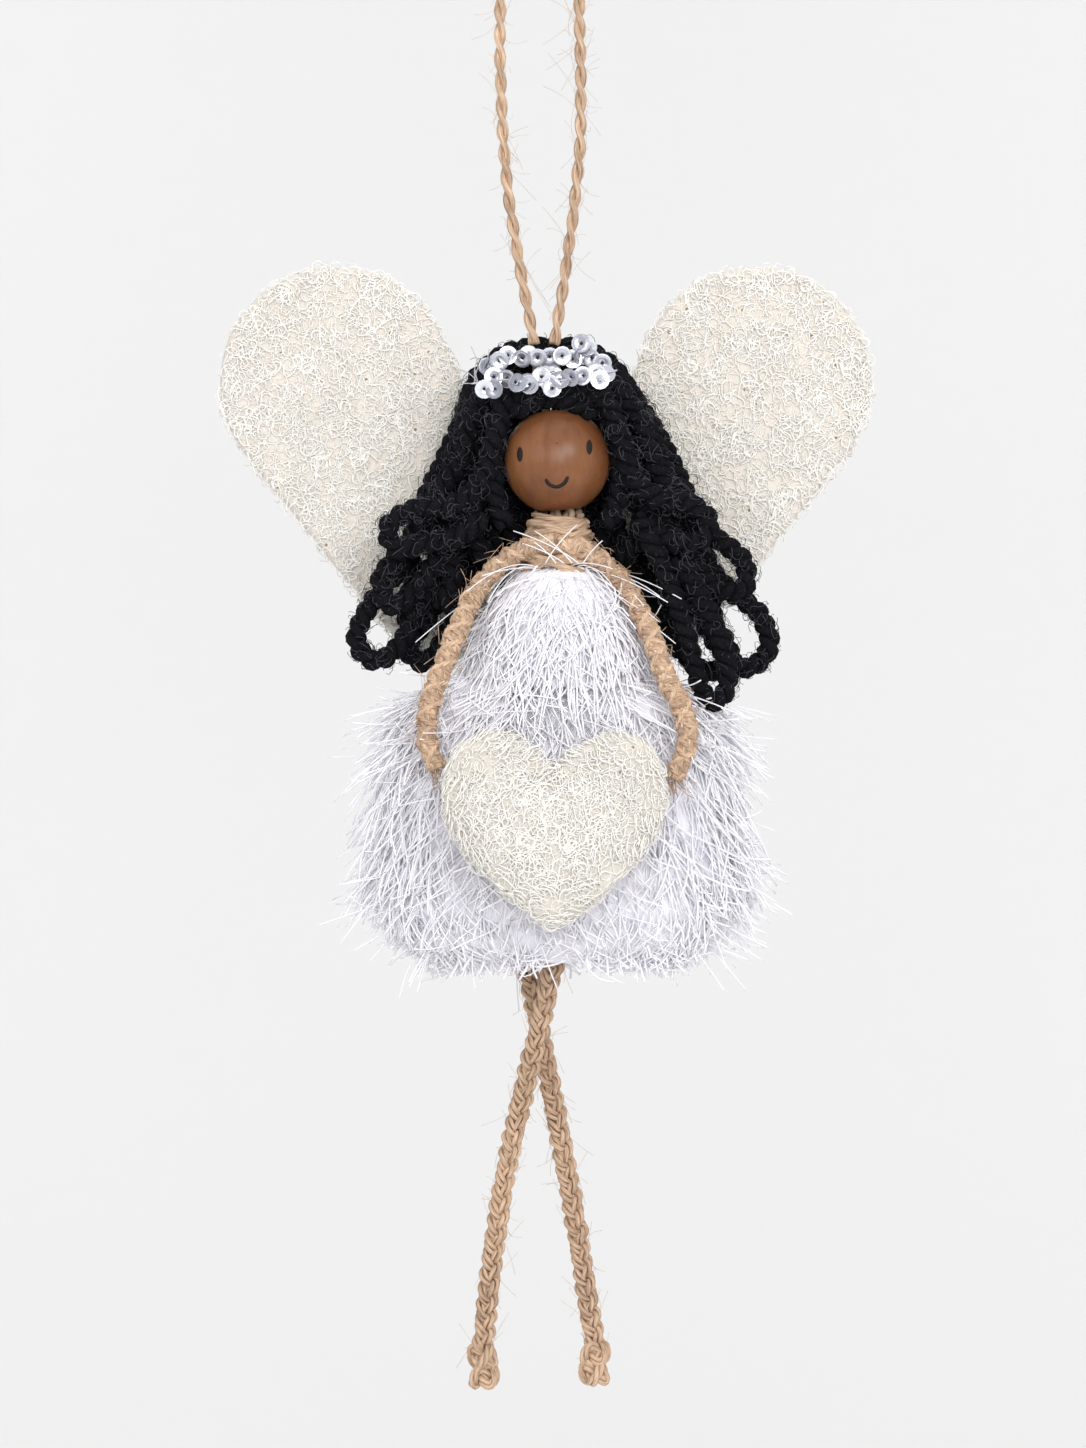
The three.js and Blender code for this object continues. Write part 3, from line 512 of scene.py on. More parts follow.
def ranged(tree, number, **ends):
    """A value carried from one range to another, each range 0 to 1 where no end is given."""
    inputs = {key.replace("_", " "): end for key, end in ends.items()}
    return node(tree, "ShaderNodeMapRange", {"Value": number, **inputs}).outputs[0]


def mixed(tree, share, low, high):
    """The colour at a share of the way from low to high, each a socket or a plain colour."""
    low, high = (c if isinstance(c, bpy.types.NodeSocket) else rgba(c) for c in (low, high))
    return node(tree, "ShaderNodeMix", {0: share, 6: low, 7: high}, data_type="RGBA").outputs[2]


def object_place(tree):
    """Object coordinates, on which a pattern stays with its piece."""
    return node(tree, "ShaderNodeTexCoord").outputs["Object"]


def noise(tree, place, scale, detail=2.0, **more):
    """Soft noise over the place, about its scale in cells to a metre."""
    inputs = {"Vector": place, "Scale": scale, "Detail": detail, **more}
    return node(tree, "ShaderNodeTexNoise", inputs).outputs[0]


def relief(tree, height, strength, depth):
    """The normal of a fine relief, its depth in millimetres."""
    inputs = {"Height": height, "Strength": strength, "Distance": depth * MM}
    return node(tree, "ShaderNodeBump", inputs).outputs[0]


def feed(tree, surface, sockets):
    """Links each socket to the surface shader's input of that name."""
    for name, socket in sockets.items():
        tree.links.new(socket, surface[name])


# The fibre's share is partly the fibres' own tone, partly painted shade in the grooves that the same grain
# sinks in relief.
BY_STRAND, BY_FIBRE, BY_DRIFT = 0.35, 0.55, 0.4  # how far each carries a yarn's colour towards light
DARKER = 0.12


def fibre_grain():
    """Fine lines along a strand: noise stretched along the strand's length, spread to full contrast."""
    tree, taken, given = group_tree(
        "Fibre grain", [("Strand", "Vector"), ("Across", "Float"), ("Along", "Float")], [("Fibre", "Float")])
    scale = node(
        tree, "ShaderNodeCombineXYZ", {"X": taken["Across"], "Y": taken["Across"], "Z": taken["Along"]})
    place = node(
        tree, "ShaderNodeVectorMath", {0: taken["Strand"], 1: scale.outputs[0]}, operation="MULTIPLY")
    lines = noise(tree, place.outputs[0], 1.0, 3.0, Roughness=0.6)
    tree.links.new(ranged(tree, lines, From_Min=0.3, From_Max=0.7), given["Fibre"])
    return tree


def yarn_colour_and_groove_shade():
    """From dark to light by fibre, by strand, and by a slow drift over the piece. The fibre's share darkens
    the grain's low lines, which the relief sinks: partly the fibres' own tone, partly painted shade in the
    grooves between fibres.
    """
    tree, taken, given = group_tree(
        "Yarn colour and groove shade",
        [("Dark", "Color"), ("Light", "Color"), ("Fibre", "Float"), ("Tone", "Float"), ("Drift", "Float")],
        [("Color", "Color")])
    drift = noise(tree, object_place(tree), taken["Drift"])
    strand = value(tree, "MULTIPLY", taken["Tone"], BY_STRAND)
    fibre = value(tree, "MULTIPLY_ADD", taken["Fibre"], BY_FIBRE, strand)
    total = value(tree, "MULTIPLY_ADD", drift, BY_DRIFT, fibre)
    centred = value(tree, "SUBTRACT", total, DARKER, clamp=True)
    tree.links.new(mixed(tree, centred, taken["Dark"], taken["Light"]), given["Color"])
    return tree


def specks():
    """A mask of small round dots: the middles of cells, in the share of the cells that has one."""
    tree, taken, given = group_tree(
        "Specks", [("Scale", "Float"), ("Size", "Float"), ("Share", "Float")], [("Mask", "Float")])
    cells = node(tree, "ShaderNodeTexVoronoi", {"Vector": object_place(tree), "Scale": taken["Scale"]})
    red = node(tree, "ShaderNodeSeparateColor", {"Color": cells.outputs["Color"]}).outputs[0]
    near = value(tree, "LESS_THAN", cells.outputs["Distance"], taken["Size"])
    few = value(tree, "LESS_THAN", red, taken["Share"])
    tree.links.new(value(tree, "MULTIPLY", near, few), given["Mask"])
    return tree


GROUP_MAKERS = {"Fibre grain": fibre_grain, "Yarn colour and groove shade": yarn_colour_and_groove_shade, "Specks": specks}


def group(tree, name, inputs):
    """The output of a shader group placed in a material, built the first time it is asked for."""
    made = bpy.data.node_groups.get(name) or GROUP_MAKERS[name]()
    return node(tree, "ShaderNodeGroup", inputs, node_tree=made).outputs[0]


def rgba(colour):
    """A colour with full alpha."""
    return (*colour, 1.0)


def attribute(tree, name, output):
    """One of the mesh's own attributes."""
    return node(tree, "ShaderNodeAttribute", attribute_name=name).outputs[output]


def start_material(name, **sockets):
    """A new material: its tree and its surface shader, with plain values set on the shader's own sockets."""
    material = bpy.data.materials.new(name)
    material.use_nodes = True
    tree = material.node_tree
    surface = tree.nodes["Principled BSDF"]
    for key, plain in sockets.items():
        surface.inputs[key.replace("_", " ")].default_value = plain
    return material, tree, surface.inputs


def fibre_material(name, dark, light, across, along, drift=60.0, bump=0.4, depth=0.1, **sockets):
    """Spun fibre: lines along the strand in colour, roughness and relief. The colour is darker along the low
    lines of the relief: partly the fibres' own tone, partly painted shade in the grooves between fibres.
    """
    if name in bpy.data.materials:
        return bpy.data.materials[name]
    material, tree, surface = start_material(name, **sockets)
    strand = attribute(tree, "strand", "Vector")
    tone = attribute(tree, "tone", "Fac")
    rough = surface["Roughness"].default_value
    fibre = group(tree, "Fibre grain", {"Strand": strand, "Across": across, "Along": along})
    feed(tree, surface, {
        "Base Color": group(tree, "Yarn colour and groove shade", {
            "Dark": rgba(dark), "Light": rgba(light), "Fibre": fibre, "Tone": tone, "Drift": drift}),
        "Roughness": ranged(tree, fibre, To_Min=min(1.0, rough + 0.12), To_Max=rough - 0.08),
        "Normal": relief(tree, fibre, bump, depth)})
    return material


def twine_material(settings):
    """Tan twine with fine pale and dark fibres along its strands, the dark ones partly painted shade in the
    grooves between them.
    """
    return fibre_material(
        "twine", settings.dark, settings.light, 3400.0, 380.0, bump=0.8, depth=0.2,
        Roughness=0.55, Specular_IOR_Level=0.4)


def wood_material(name, light, dark, speck, gloss):
    """Turned wood: grain stretched along its axis, dark pores, and a satin coat where it is finished."""
    material, tree, surface = start_material(
        name, Specular_IOR_Level=0.25, Coat_Weight=0.28 * gloss, Coat_Roughness=0.42)
    place = object_place(tree)
    turned = node(tree, "ShaderNodeMapping", {"Vector": place, "Scale": (1.0, 1.0, 0.22)}).outputs[0]
    grain = noise(tree, turned, 420.0, 5.0, Roughness=0.65, Distortion=0.6)
    total = value(tree, "MULTIPLY", grain, noise(tree, place, 110.0))
    stain = mixed(tree, ranged(tree, total, From_Min=0.12, From_Max=0.4), dark, light)
    pores = group(tree, "Specks", {"Scale": 820.0, "Size": 0.13, "Share": 0.4})
    feed(tree, surface, {
        "Base Color": mixed(tree, pores, stain, speck),
        "Roughness": ranged(tree, grain, To_Min=0.56 - 0.2 * gloss, To_Max=0.42 - 0.16 * gloss),
        "Normal": relief(tree, grain, 0.12, 0.05)})
    return material


def felt_material(name, cream, hollow_shade):
    """Needled felt: soft lumps drawn darker in their low places as painted shade, fine matted lines and a few
    brown specks.
    """
    material, tree, surface = start_material(
        name, Roughness=0.95, Specular_IOR_Level=0.1, Sheen_Weight=0.3, Sheen_Roughness=0.5)
    place = object_place(tree)
    lumps = noise(tree, place, 620.0, 4.0, Roughness=0.6)
    mat = node(tree, "ShaderNodeTexVoronoi", {"Vector": place, "Scale": 760.0}, feature="DISTANCE_TO_EDGE")
    lines = ranged(tree, mat.outputs["Distance"], From_Max=0.25)
    # Painted shade: the low places of the lumps take the hollow colour, the raised ones the cream.
    base = mixed(tree, value(tree, "MULTIPLY_ADD", lumps, 0.9, 0.15, clamp=True), hollow_shade, cream)
    brown_specks = group(tree, "Specks", {"Scale": 520.0, "Size": 0.12, "Share": 0.6})
    feed(tree, surface, {
        "Base Color": mixed(tree, brown_specks, base, linear(150, 128, 100)),
        "Normal": relief(tree, value(tree, "ADD", lumps, lines), 0.35, 0.2)})
    return material


def paint_material(settings):
    """Matt dark paint, thin at places."""
    material, tree, surface = start_material("face_paint", Roughness=0.6, Specular_IOR_Level=0.2)
    thin = noise(tree, object_place(tree), 1500.0, 3.0)
    feed(tree, surface, {"Base Color": mixed(tree, thin, settings.paint, linear(46, 37, 33))})
    return material


def sequin_material(settings):
    """Silvered film: bright, a little blue, each sequin at its own tone, with fine scratches."""
    material, tree, surface = start_material(
        "sequin_silver", Metallic=0.75, Roughness=0.2, Coat_Weight=0.6, Coat_Roughness=0.08)
    tint = noise(tree, object_place(tree), 900.0, 3.0)
    spread = value(tree, "MULTIPLY_ADD", tint, 0.5, attribute(tree, "tone", "Fac"), clamp=True)
    feed(tree, surface, {
        "Base Color": mixed(tree, spread, linear(128, 132, 146), settings.silver),
        "Roughness": ranged(tree, tint, To_Min=0.12, To_Max=0.34)})
    return material


def glitter_material():
    """Silver flakes, some of them dull."""
    material, tree, surface = start_material("glitter_silver", Metallic=0.9, Roughness=0.25)
    shift = noise(tree, object_place(tree), 700.0)
    feed(tree, surface, {"Base Color": mixed(tree, shift, linear(120, 116, 128), linear(250, 250, 255))})
    return material


def wire_material():
    """Drawn steel wire, dull along its length."""
    material, tree, surface = start_material("steel_wire", Metallic=1.0, Roughness=0.4)
    drawn = noise(tree, object_place(tree), 1600.0, 4.0)
    feed(tree, surface, {
        "Base Color": mixed(tree, drawn, linear(120, 118, 114), linear(168, 166, 160)),
        "Roughness": ranged(tree, drawn, To_Min=0.3, To_Max=0.55)})
    return material


# Twine

PLY_SHARE = 0.255  # a ply's radius as a share of the loop's diameter
LOOP_BARE = 20  # steps at each end of the loop that have no stray fibres
STOPPER = np.array([2.7, 0, -86.61])  # the knot under the bead
STOPPER_WIDE, STOPPER_HIGH, STOPPER_RADIUS = 1.05, 0.5, 0.62
STRAY_TWINE = 0.028 * MM


def twisted(route, count, offset, radius, pitch, sides=18, flutes=5, tones=(0.35, 0.65)):
    """A twisted cord: its plies as fluted tubes that wind round the route."""
    lines = plies(route, count, offset, pitch, Y_AXIS)
    flute = fluted(lines, radius, sides, flutes, 1.6 * pitch, 0.07)
    return tubes(lines, flute, Y_AXIS, sides, np.linspace(*tones, count))


def yarns(lines, offset, radius, pitch, reference, tone):
    """Each strand as three yarns laid round its line, as fluted tubes."""
    parts = []
    for k, line in enumerate(lines):
        laid = plies(line, 3, offset, pitch, reference, 0.7 * k)
        flute = fluted(laid, radius, 8, 3, 0.5 * pitch, 0.06)
        parts.append(tubes(laid, flute, reference, 8, tone + 0.12 * np.arange(3)))
    return parts


def make_hanging_twine(settings):
    """The hanging loop and its tails: two plies each, with stray fibres along the loop."""
    twine = twine_material(settings)
    route = smooth_route(LOOP_ROUTE, 0.35 * MM)
    ply = PLY_SHARE * settings.diameter
    offset = settings.diameter / 2 - ply
    loop = add_piece(
        "hanging_twine", twisted(route, 2, offset, ply, settings.pitch), twine, "hanger",
        ["hanging_loop"])
    strays = fuzz_on(
        route[LOOP_BARE:-LOOP_BARE], 0.4 * settings.diameter, settings.fuzz, (1.2 * MM, 5 * MM), 3, Y_AXIS)
    fuzz = add_piece(
        "hanging_twine_fibres", tubes(strays, STRAY_TWINE, X_AXIS, 3, 0.9), twine, "hanger")
    tails = [twisted(smooth_route(t, 0.4 * MM), 2, offset, ply, settings.pitch) for t in TAIL_ROUTES]
    turn = np.linspace(0, TURN, 60)
    knot = np.stack([np.cos(2 * turn), np.sin(2 * turn), np.sin(3 * turn)], axis=-1)
    knot = knot * np.array([STOPPER_WIDE, STOPPER_WIDE, STOPPER_HIGH])
    stopper = tubes(evenly(knot * MM, 0.3 * MM) + STOPPER * MM, STOPPER_RADIUS * MM, Z_AXIS, 10)
    add_piece("hanging_twine_tails", tails + [stopper], twine, "doll", ["hanger_tails"])


# Head

BEAD_CENTRE = np.array([2.55, 0.0, -76.65]) * MM
BEAD_TILT = math.radians(-5.8)
EYES = [(-5.55, 0.75), (4.8, 1.8)]
EYE_HALF = (0.46, 1.12)
BEAD_LIP = 0.5 * MM  # radius of the rounded mouths of the bore
SMILE = [(-1.72, -2.85), (-1.25, -3.62), (-0.1, -4.08), (1.05, -3.55), (1.62, -2.5)]


def tilted(points):
    """Points about the bead's centre, tilted with the head and moved to it."""
    x, y, z = np.moveaxis(points, -1, 0)
    lean_x = x * math.cos(BEAD_TILT) + z * math.sin(BEAD_TILT)
    lean_z = z * math.cos(BEAD_TILT) - x * math.sin(BEAD_TILT)
    return BEAD_CENTRE + np.stack([lean_x, y, lean_z], axis=-1)


def on_face(across, up, radius):
    """Points of the bead's front: y = -sqrt(radius squared - across squared - up squared)."""
    depth = -np.sqrt(np.maximum(radius**2 - across**2 - up**2, 0))
    return BEAD_CENTRE + np.stack([across, depth, up], axis=-1)


def make_head(settings):
    """The bead is a circle's arc turned round its bore, its mouths rounded; the paint lies on its front."""
    mouth = settings.bore + BEAD_LIP
    low = math.asin(mouth / settings.radius)
    arc = np.linspace(low, math.pi - low, 72)
    outside = np.stack([settings.radius * np.sin(arc), -settings.radius * np.cos(arc)], axis=-1)
    lip = np.linspace(0, math.pi / 2, 6)[1:]
    edge_z = settings.radius * math.cos(low)
    lip_in = np.stack([mouth - BEAD_LIP * np.sin(lip), edge_z - BEAD_LIP * (1 - np.cos(lip))], axis=-1)
    bore_z = np.linspace(edge_z - BEAD_LIP, -edge_z + BEAD_LIP, 12)[1:-1]
    bore = np.stack([np.full_like(bore_z, settings.bore), bore_z], axis=-1)
    profile = np.vstack([outside, lip_in, bore, lip_in[::-1] * [1, -1]])
    around = np.linspace(0, TURN, 128, endpoint=False)[:, None]
    ring = np.stack(
        [profile[:, 0] * np.cos(around), profile[:, 0] * np.sin(around), profile[:, 1] + 0 * around], axis=-1)
    wood = wood_material("stained_bead", settings.stain, settings.deep_stain, linear(84, 46, 26), 1.0)
    add_piece("bead", grid(tilted(ring), (True, True)), wood, "doll", ["head_bead"])

    paint = paint_material(settings)
    turn = np.linspace(0, TURN, 32, endpoint=False)[None]
    shares = np.array([0.5, 0.9, 1.0, 0.9, 0.5])[:, None]
    rise = np.array([-0.08, -0.06, 0.0, 0.03, 0.05])[:, None] * MM
    for name, (across, up) in zip(["eye_left", "eye_right"], EYES):
        x = (across + EYE_HALF[0] * shares * np.cos(turn)) * MM
        z = (up + EYE_HALF[1] * shares * np.sin(turn)) * MM
        rings = on_face(x, z, settings.radius + rise)
        middle = np.array([across, up]) * MM
        poles = [on_face(*middle, settings.radius + h * MM) for h in (-0.08, 0.055)]
        add_piece(name, polar(rings, *poles), paint, "doll")
    line = smooth_route([(x, 0, z) for x, z in SMILE], 0.12 * MM)
    line = on_face(line[:, 0], line[:, 2], settings.radius - 0.12 * MM)
    share = np.linspace(-1, 1, len(line))
    add_piece(
        "smile", tubes(line, 0.33 * MM * np.sqrt(1.02 - share**10)[None], Y_AXIS, 10), paint, "doll")


# Hair

CHENILLE_PLY = 0.52  # a ply's radius as a share of the cord's
CHENILLE_REACH = 1.02  # how far the plies reach, the same way
CURL_RADIUS = 0.05 * MM
CURL_REFERENCE = Y_AXIS + 0.31 * X_AXIS
CURL_SEAT, CURL_LIFT = 0.93, 0.12 * MM  # place of a curl's middle as a share of the radius, and its rise
UNDER_CURLS = 0.55  # the under hair's share of curls


def chenille(route, settings, seed):
    """Two plump plies twisted round a route, their radius swelling unevenly, rounded off at both ends."""
    rng = np.random.default_rng(seed)
    ply = CHENILLE_PLY * settings.radius
    offset = CHENILLE_REACH * settings.radius - ply
    lines = plies(route, 2, offset, settings.pitch, Y_AXIS, rng.uniform(0, TURN))
    share = np.linspace(-1, 1, len(route))
    swell = ply * (1 + 0.1 * ripple(lines, 1.6 * MM, seed)) * np.sqrt(1.02 - np.abs(share) ** 40)
    return tubes(lines, swell, Y_AXIS, 12)


def loose_curls(route, settings, seed, share=1.0):
    """Small open loops of fibre standing on a lock, a few to each millimetre."""
    rng = np.random.default_rng(seed)
    count = int(share * settings.fuzz * travel(route)[-1] / 0.1)
    _, aside, up = axes_along(route, Y_AXIS)
    station = rng.integers(3, len(route) - 3, count)
    angle = rng.uniform(0, TURN, (count, 1))
    out = np.cos(angle) * aside[station] + np.sin(angle) * up[station]
    tilt = unit(out + 0.8 * rng.normal(size=(count, 3)))
    middle = route[station] + CURL_SEAT * settings.radius * out
    radii = rng.uniform(0.4, 1.25, count) * MM
    sweeps = rng.uniform(2.2, 5.5, count)
    return curls(middle, tilt, radii, sweeps, rng.uniform(0, TURN, count), CURL_LIFT, 8)


def make_hair(settings):
    """Each lock is two plies of chenille twisted round its route, under loose curls of fibre."""
    # The pile's near-black dark end is painted shade in the grooves between fibres, besides the pile's own
    # darker fibres.
    pile = fibre_material(
        "chenille_pile", linear(4, 4, 5), settings.pile, 2600.0, 2600.0, drift=200.0, bump=0.9, depth=0.25,
        Roughness=0.88, Specular_IOR_Level=0.06)
    loose = fibre_material(
        "chenille_curls", linear(14, 14, 16), settings.fuzz_tone, 4000.0, 300.0, bump=0.1,
        Roughness=0.7, Specular_IOR_Level=0.25)
    for side, locks in (("left", HAIR_LEFT), ("right", HAIR_RIGHT)):
        fuzz = []
        for layer, lock in enumerate(locks):
            depth = (layer - 1) * HAIR_PITCH
            route = smooth_route([(x, depth, z) for x, z in lock], 0.36 * MM)
            cord = chenille(route, settings, 40 + layer)
            solid = f"hair_{side}_{layer + 1}"
            add_piece(f"hair_cord_{side}_{layer + 1}", cord, pile, "doll", [solid])
            fuzz.append(loose_curls(route, settings, 50 + layer))
        curled = tubes(np.concatenate(fuzz), CURL_RADIUS, CURL_REFERENCE, 3)
        add_piece(f"hair_curls_{side}", curled, loose, "doll")
    routes = [smooth_route([(x, depth, z) for x, z in line], 0.45 * MM) for depth, line in HAIR_FILL]
    under = [chenille(route, settings, 70 + k) for k, route in enumerate(routes)]
    add_piece("hair_cords_under", under, pile, "doll")
    fuzz = [loose_curls(route, settings, 90 + k, UNDER_CURLS) for k, route in enumerate(routes)]
    curled = tubes(np.concatenate(fuzz), CURL_RADIUS, CURL_REFERENCE, 3)
    add_piece("hair_curls_under", curled, loose, "doll")


# Tiara

SEQUIN_STRIP = np.array([  # the section of a cup, out from its hole and up, as shares of its radius
    (0.16, 0.2), (0.45, 0.2), (0.96, 0.02), (1.0, -0.02), (0.95, -0.04), (0.45, 0.15), (0.16, 0.15)])
SEQUIN_SCATTER = np.array([0.25, 0.22, 0.42]) * MM
SEQUIN_LEAN = 0.32
THREAD_ENDS, THREAD_RADIUS, THREAD_END_RADIUS = 5, 0.13 * MM, 0.07 * MM
LOOSE_SEQUINS_UPPER = [(6.4, -59.3), (7.4, -60.1), (1.9, -61.6), (2.1, -63.2)]
LOOSE_SEQUINS_LOWER = [(-6.8, -66.5), (-1.6, -66.4), (1.9, -66.2), (-3.9, -65.6), (8.9, -65.2)]


def turned_frames(rng, count, lean):
    """Random frames facing the front within the lean: rows are across, up and facing."""
    facing = unit(-Y_AXIS + lean * rng.normal(size=(count, 3)))
    across = unit(np.cross(rng.normal(size=(count, 3)), facing))
    return np.stack([across, np.cross(facing, across), facing], axis=1)


def make_tiara(settings):
    """Cup sequins are a bent strip turned round a small hole; each stands at its own lean on the thread."""
    silver = sequin_material(settings)
    thread = fibre_material(
        "tiara_thread", linear(150, 150, 158), linear(228, 228, 234), 4000.0, 300.0, Roughness=0.6)
    # Painted shadow: each sequin's hole gets a short dark plug that stands for the shadow in the hole.
    shade = fibre_material(
        "sequin_hole_shade", linear(14, 14, 16), linear(34, 34, 38), 900.0, 900.0, Roughness=0.9)
    radius = settings.sequin_radius
    wide, high = SEQUIN_STRIP.T
    around = np.linspace(0, TURN, 14, endpoint=False)[:, None]
    cup = radius * np.stack([wide * np.cos(around), wide * np.sin(around), -high + 0 * around], axis=-1)
    for name, route, extra, seed in (
        ("upper", TIARA_UPPER, LOOSE_SEQUINS_UPPER, 5), ("lower", TIARA_LOWER, LOOSE_SEQUINS_LOWER, 6)):
        rng = np.random.default_rng(seed)
        line = smooth_route(route, 0.2 * MM)
        stations = evenly(line, settings.spacing)[1:-1]
        loose = np.array([(x, route[0][1], z) for x, z in extra]) * MM
        places = np.vstack([stations, loose])
        count = len(places)
        places = places + rng.normal(0, 1, (count, 3)) * SEQUIN_SCATTER
        places[:, 1] -= rng.uniform(0, 0.7, count) * MM
        frames = turned_frames(rng, count, SEQUIN_LEAN)
        cups = [grid(place + cup @ turn, (True, True), rng.uniform()) for place, turn in zip(places, frames)]
        add_piece(f"tiara_sequins_{name}", cups, silver, "doll", [f"tiara_{name}_string"])
        axis = np.array([turn[2] for turn in frames])
        # The dark plugs of painted shadow, one in each sequin's hole.
        hole_shade = np.stack([places - 0.17 * radius * axis, places - 0.22 * radius * axis], axis=1)
        hole_shade = tubes(hole_shade, 0.17 * radius, Y_AXIS + 0.3 * X_AXIS, 8)
        add_piece(f"tiara_hole_shade_{name}", hole_shade, shade, "doll")
        roots = line[rng.integers(0, 6, THREAD_ENDS)]
        directions = np.array([-0.7, -0.3, 0.8]) + 0.5 * rng.normal(size=(THREAD_ENDS, 3))
        lengths = rng.uniform(2, 4.5, THREAD_ENDS) * MM
        ends = bent_fibres(roots, directions, lengths, 0.3 * rng.normal(size=(THREAD_ENDS, 3)), 6)
        strings = [tubes(line, THREAD_RADIUS, Y_AXIS, 6), tubes(ends, THREAD_END_RADIUS, Y_AXIS, 4)]
        add_piece(f"tiara_thread_{name}", strings, thread, "doll")


# Neck and arms

ARM_STRANDS, STRAND_OFFSET, STRAND_RADIUS, STRAND_LAY = 6, 0.78 * MM, 0.55 * MM, 20 * MM  # along the wire
ARM_STEPS, ARM_TAPER = 26, 0.2  # points on a turn, and how far the end turns close in
NECK_YARN = (0.45, 0.6, 13 * MM)  # offset and radius of a yarn as shares of the thin twine's, and its lay
ARM_YARN = (0.32, 0.4, 3.1 * MM)
HAND_WISPS, ARM_STRAYS = 16, 110
WISP_RADIUS, ARM_STRAY = 0.07 * MM, 0.045 * MM


def winding(route, radius, turns, steps, reference, taper=0.0, start=0.0, hand=1.0):
    """A line wound round a route: route + radius * (cos a * side + sin a * up), a once round for each turn.

    With a taper, the first and last turns lie closer to the route.
    """
    line = evenly(route, float(travel(route)[-1]) / (turns * steps))
    _, side, up = axes_along(line, reference)
    share = np.linspace(0, 1, len(line))
    angle = hand * TURN * (turns * share + start)
    close = np.minimum(1.0, np.minimum(share, 1 - share) * turns / 1.6) ** 0.5 if taper else 1.0
    radius = np.asarray(radius * (1 - taper + taper * close)) + 0 * share
    out = np.cos(angle)[:, None] * side + np.sin(angle)[:, None] * up
    return line + radius[:, None] * out, out


def slanted_wrap(height, radius, slant, turns, start):
    """Turns of twine round the neck on a leaning circle: z = height + slant * radius * cos(a - start)."""
    angle = start + np.linspace(0, TURN * turns, int(36 * turns))
    sink = np.linspace(0.7, -0.7, len(angle)) * turns
    level = height + sink + slant * radius * np.cos(angle - start)
    wide = radius + 0.09 * (height - level) - 0.1 * sink
    out = np.stack([np.sin(angle), -np.cos(angle), 0 * angle], axis=-1)
    line = np.stack([BODY_X + 0 * angle, 0 * angle, level], axis=-1) + wide[:, None] * out
    return line * MM, out


def make_neck_and_arms(settings):
    """Thin twine wound crosswise round the flaring neck and, over strands laid along it, round each arm."""
    twine = twine_material(settings)
    thin = settings.thin_radius
    wraps = []
    for k, (height, radius, slant, turns, start) in enumerate(NECK_WRAPS):
        line, out = slanted_wrap(height, radius, slant, turns, start)
        line = line + 0.12 * MM * ripple(line, 4 * MM, 80 + k)[:, None] * out
        offset, yarn, lay = NECK_YARN
        wraps = wraps + yarns([line], offset * thin, yarn * thin, lay, out, 0.15 + 0.12 * (k % 5))
    add_piece("neck_twine", wraps, twine, "doll", ["neck_winding"])

    for side, arm, seed in (("left", ARM_LEFT, 8), ("right", ARM_RIGHT, 9)):
        route = smooth_route(arm, 0.3 * MM)
        rng = np.random.default_rng(seed)
        length = float(travel(route)[-1])
        strands = plies(route, ARM_STRANDS, STRAND_OFFSET, STRAND_LAY, X_AXIS, rng.uniform(0, TURN))
        flute = fluted(strands, STRAND_RADIUS, 10, 4, 4 * MM, 0.12)
        parts = [tubes(strands, flute, X_AXIS, 10, rng.uniform(0.1, 0.9, ARM_STRANDS))]
        offset, yarn, lay = ARM_YARN
        for layer, (pitch, out_by, start) in enumerate(ARM_WRAPS):
            turns = length / (abs(pitch) * MM)
            hand = math.copysign(1, pitch)
            line, out = winding(route, out_by * MM, turns, ARM_STEPS, X_AXIS, ARM_TAPER, start, hand)
            line = line + (0.16 * MM * ripple(line, 2.4 * MM, seed + layer))[:, None] * out
            parts = parts + yarns([line], offset * thin, yarn * thin, lay, out, 0.1 + 0.16 * layer)
        each = (HAND_WISPS, 3)
        roots = route[-1] + 0.6 * MM * rng.normal(size=each)
        directions = np.array([0.1, -0.2, -1.0]) + 0.3 * rng.normal(size=each)
        lengths = rng.uniform(1.2, 3.4, HAND_WISPS) * MM
        wisp = bent_fibres(roots, directions, lengths, 0.3 * rng.normal(size=each), 5)
        loose = fuzz_on(route, 1.75 * MM, ARM_STRAYS, (0.8 * MM, 2.6 * MM), seed + 30, X_AXIS)
        parts = parts + [tubes(wisp, WISP_RADIUS, X_AXIS, 4, 0.7), tubes(loose, ARM_STRAY, X_AXIS, 3, 0.8)]
        add_piece(f"arm_twine_{side}", parts, twine, "doll", [f"arm_winding_{side}"])


# Dress

SKIRT = [  # share of the way down, radius and height in millimetres
    (0.0, 13.3, -108.65), (0.1, 19.8, -110.0), (0.2, 24.5, -113.0), (0.35, 27.6, -120.5),
    (0.52, 29.4, -129.8), (0.68, 30.8, -139.0), (0.8, 29.1, -144.7), (0.92, 24.2, -149.6),
    (1.0, 18.5, -151.6), (1.15, 18.0, -155.4)]
SKIRT_DEPTH = 0.6
SKIRT_ROUNDS = [  # name, root and reach as shares of the way down, spread, tips, sway and seed
    ("upper", (-0.03, 0.32), (0.12, 0.36), 0.3, (0.85, 1.06), 0.5, 23),
    ("middle", (0.22, 0.68), (0.14, 0.36), 0.26, (0.85, 1.06), 0.5, 24),
    ("lower", (0.56, 0.98), (0.07, 0.22), 0.16, (0.93, 1.12), 0.4, 25)]
CLUMP = 4  # fibres that lie together
PARTING = 0.2  # half the front's gap in the hem, over the legs
SKIRT_YARN = 0.85  # the yarn's share of the skirt's radius
HEM_HOLLOW = 4 * MM  # how far the skirt is hollowed from below
LEG_ROOM = 5 * MM  # half the width left free for the legs
BODICE = [
    (0.0, 4.8, -92.6), (0.12, 7.4, -93.6), (0.3, 10.2, -97.2), (0.5, 12.2, -102.0), (0.7, 13.6, -107.5),
    (0.86, 15.2, -112.5), (1.0, 17.0, -117.5), (1.15, 18.2, -121.5)]
BODICE_DEPTH = 1.02
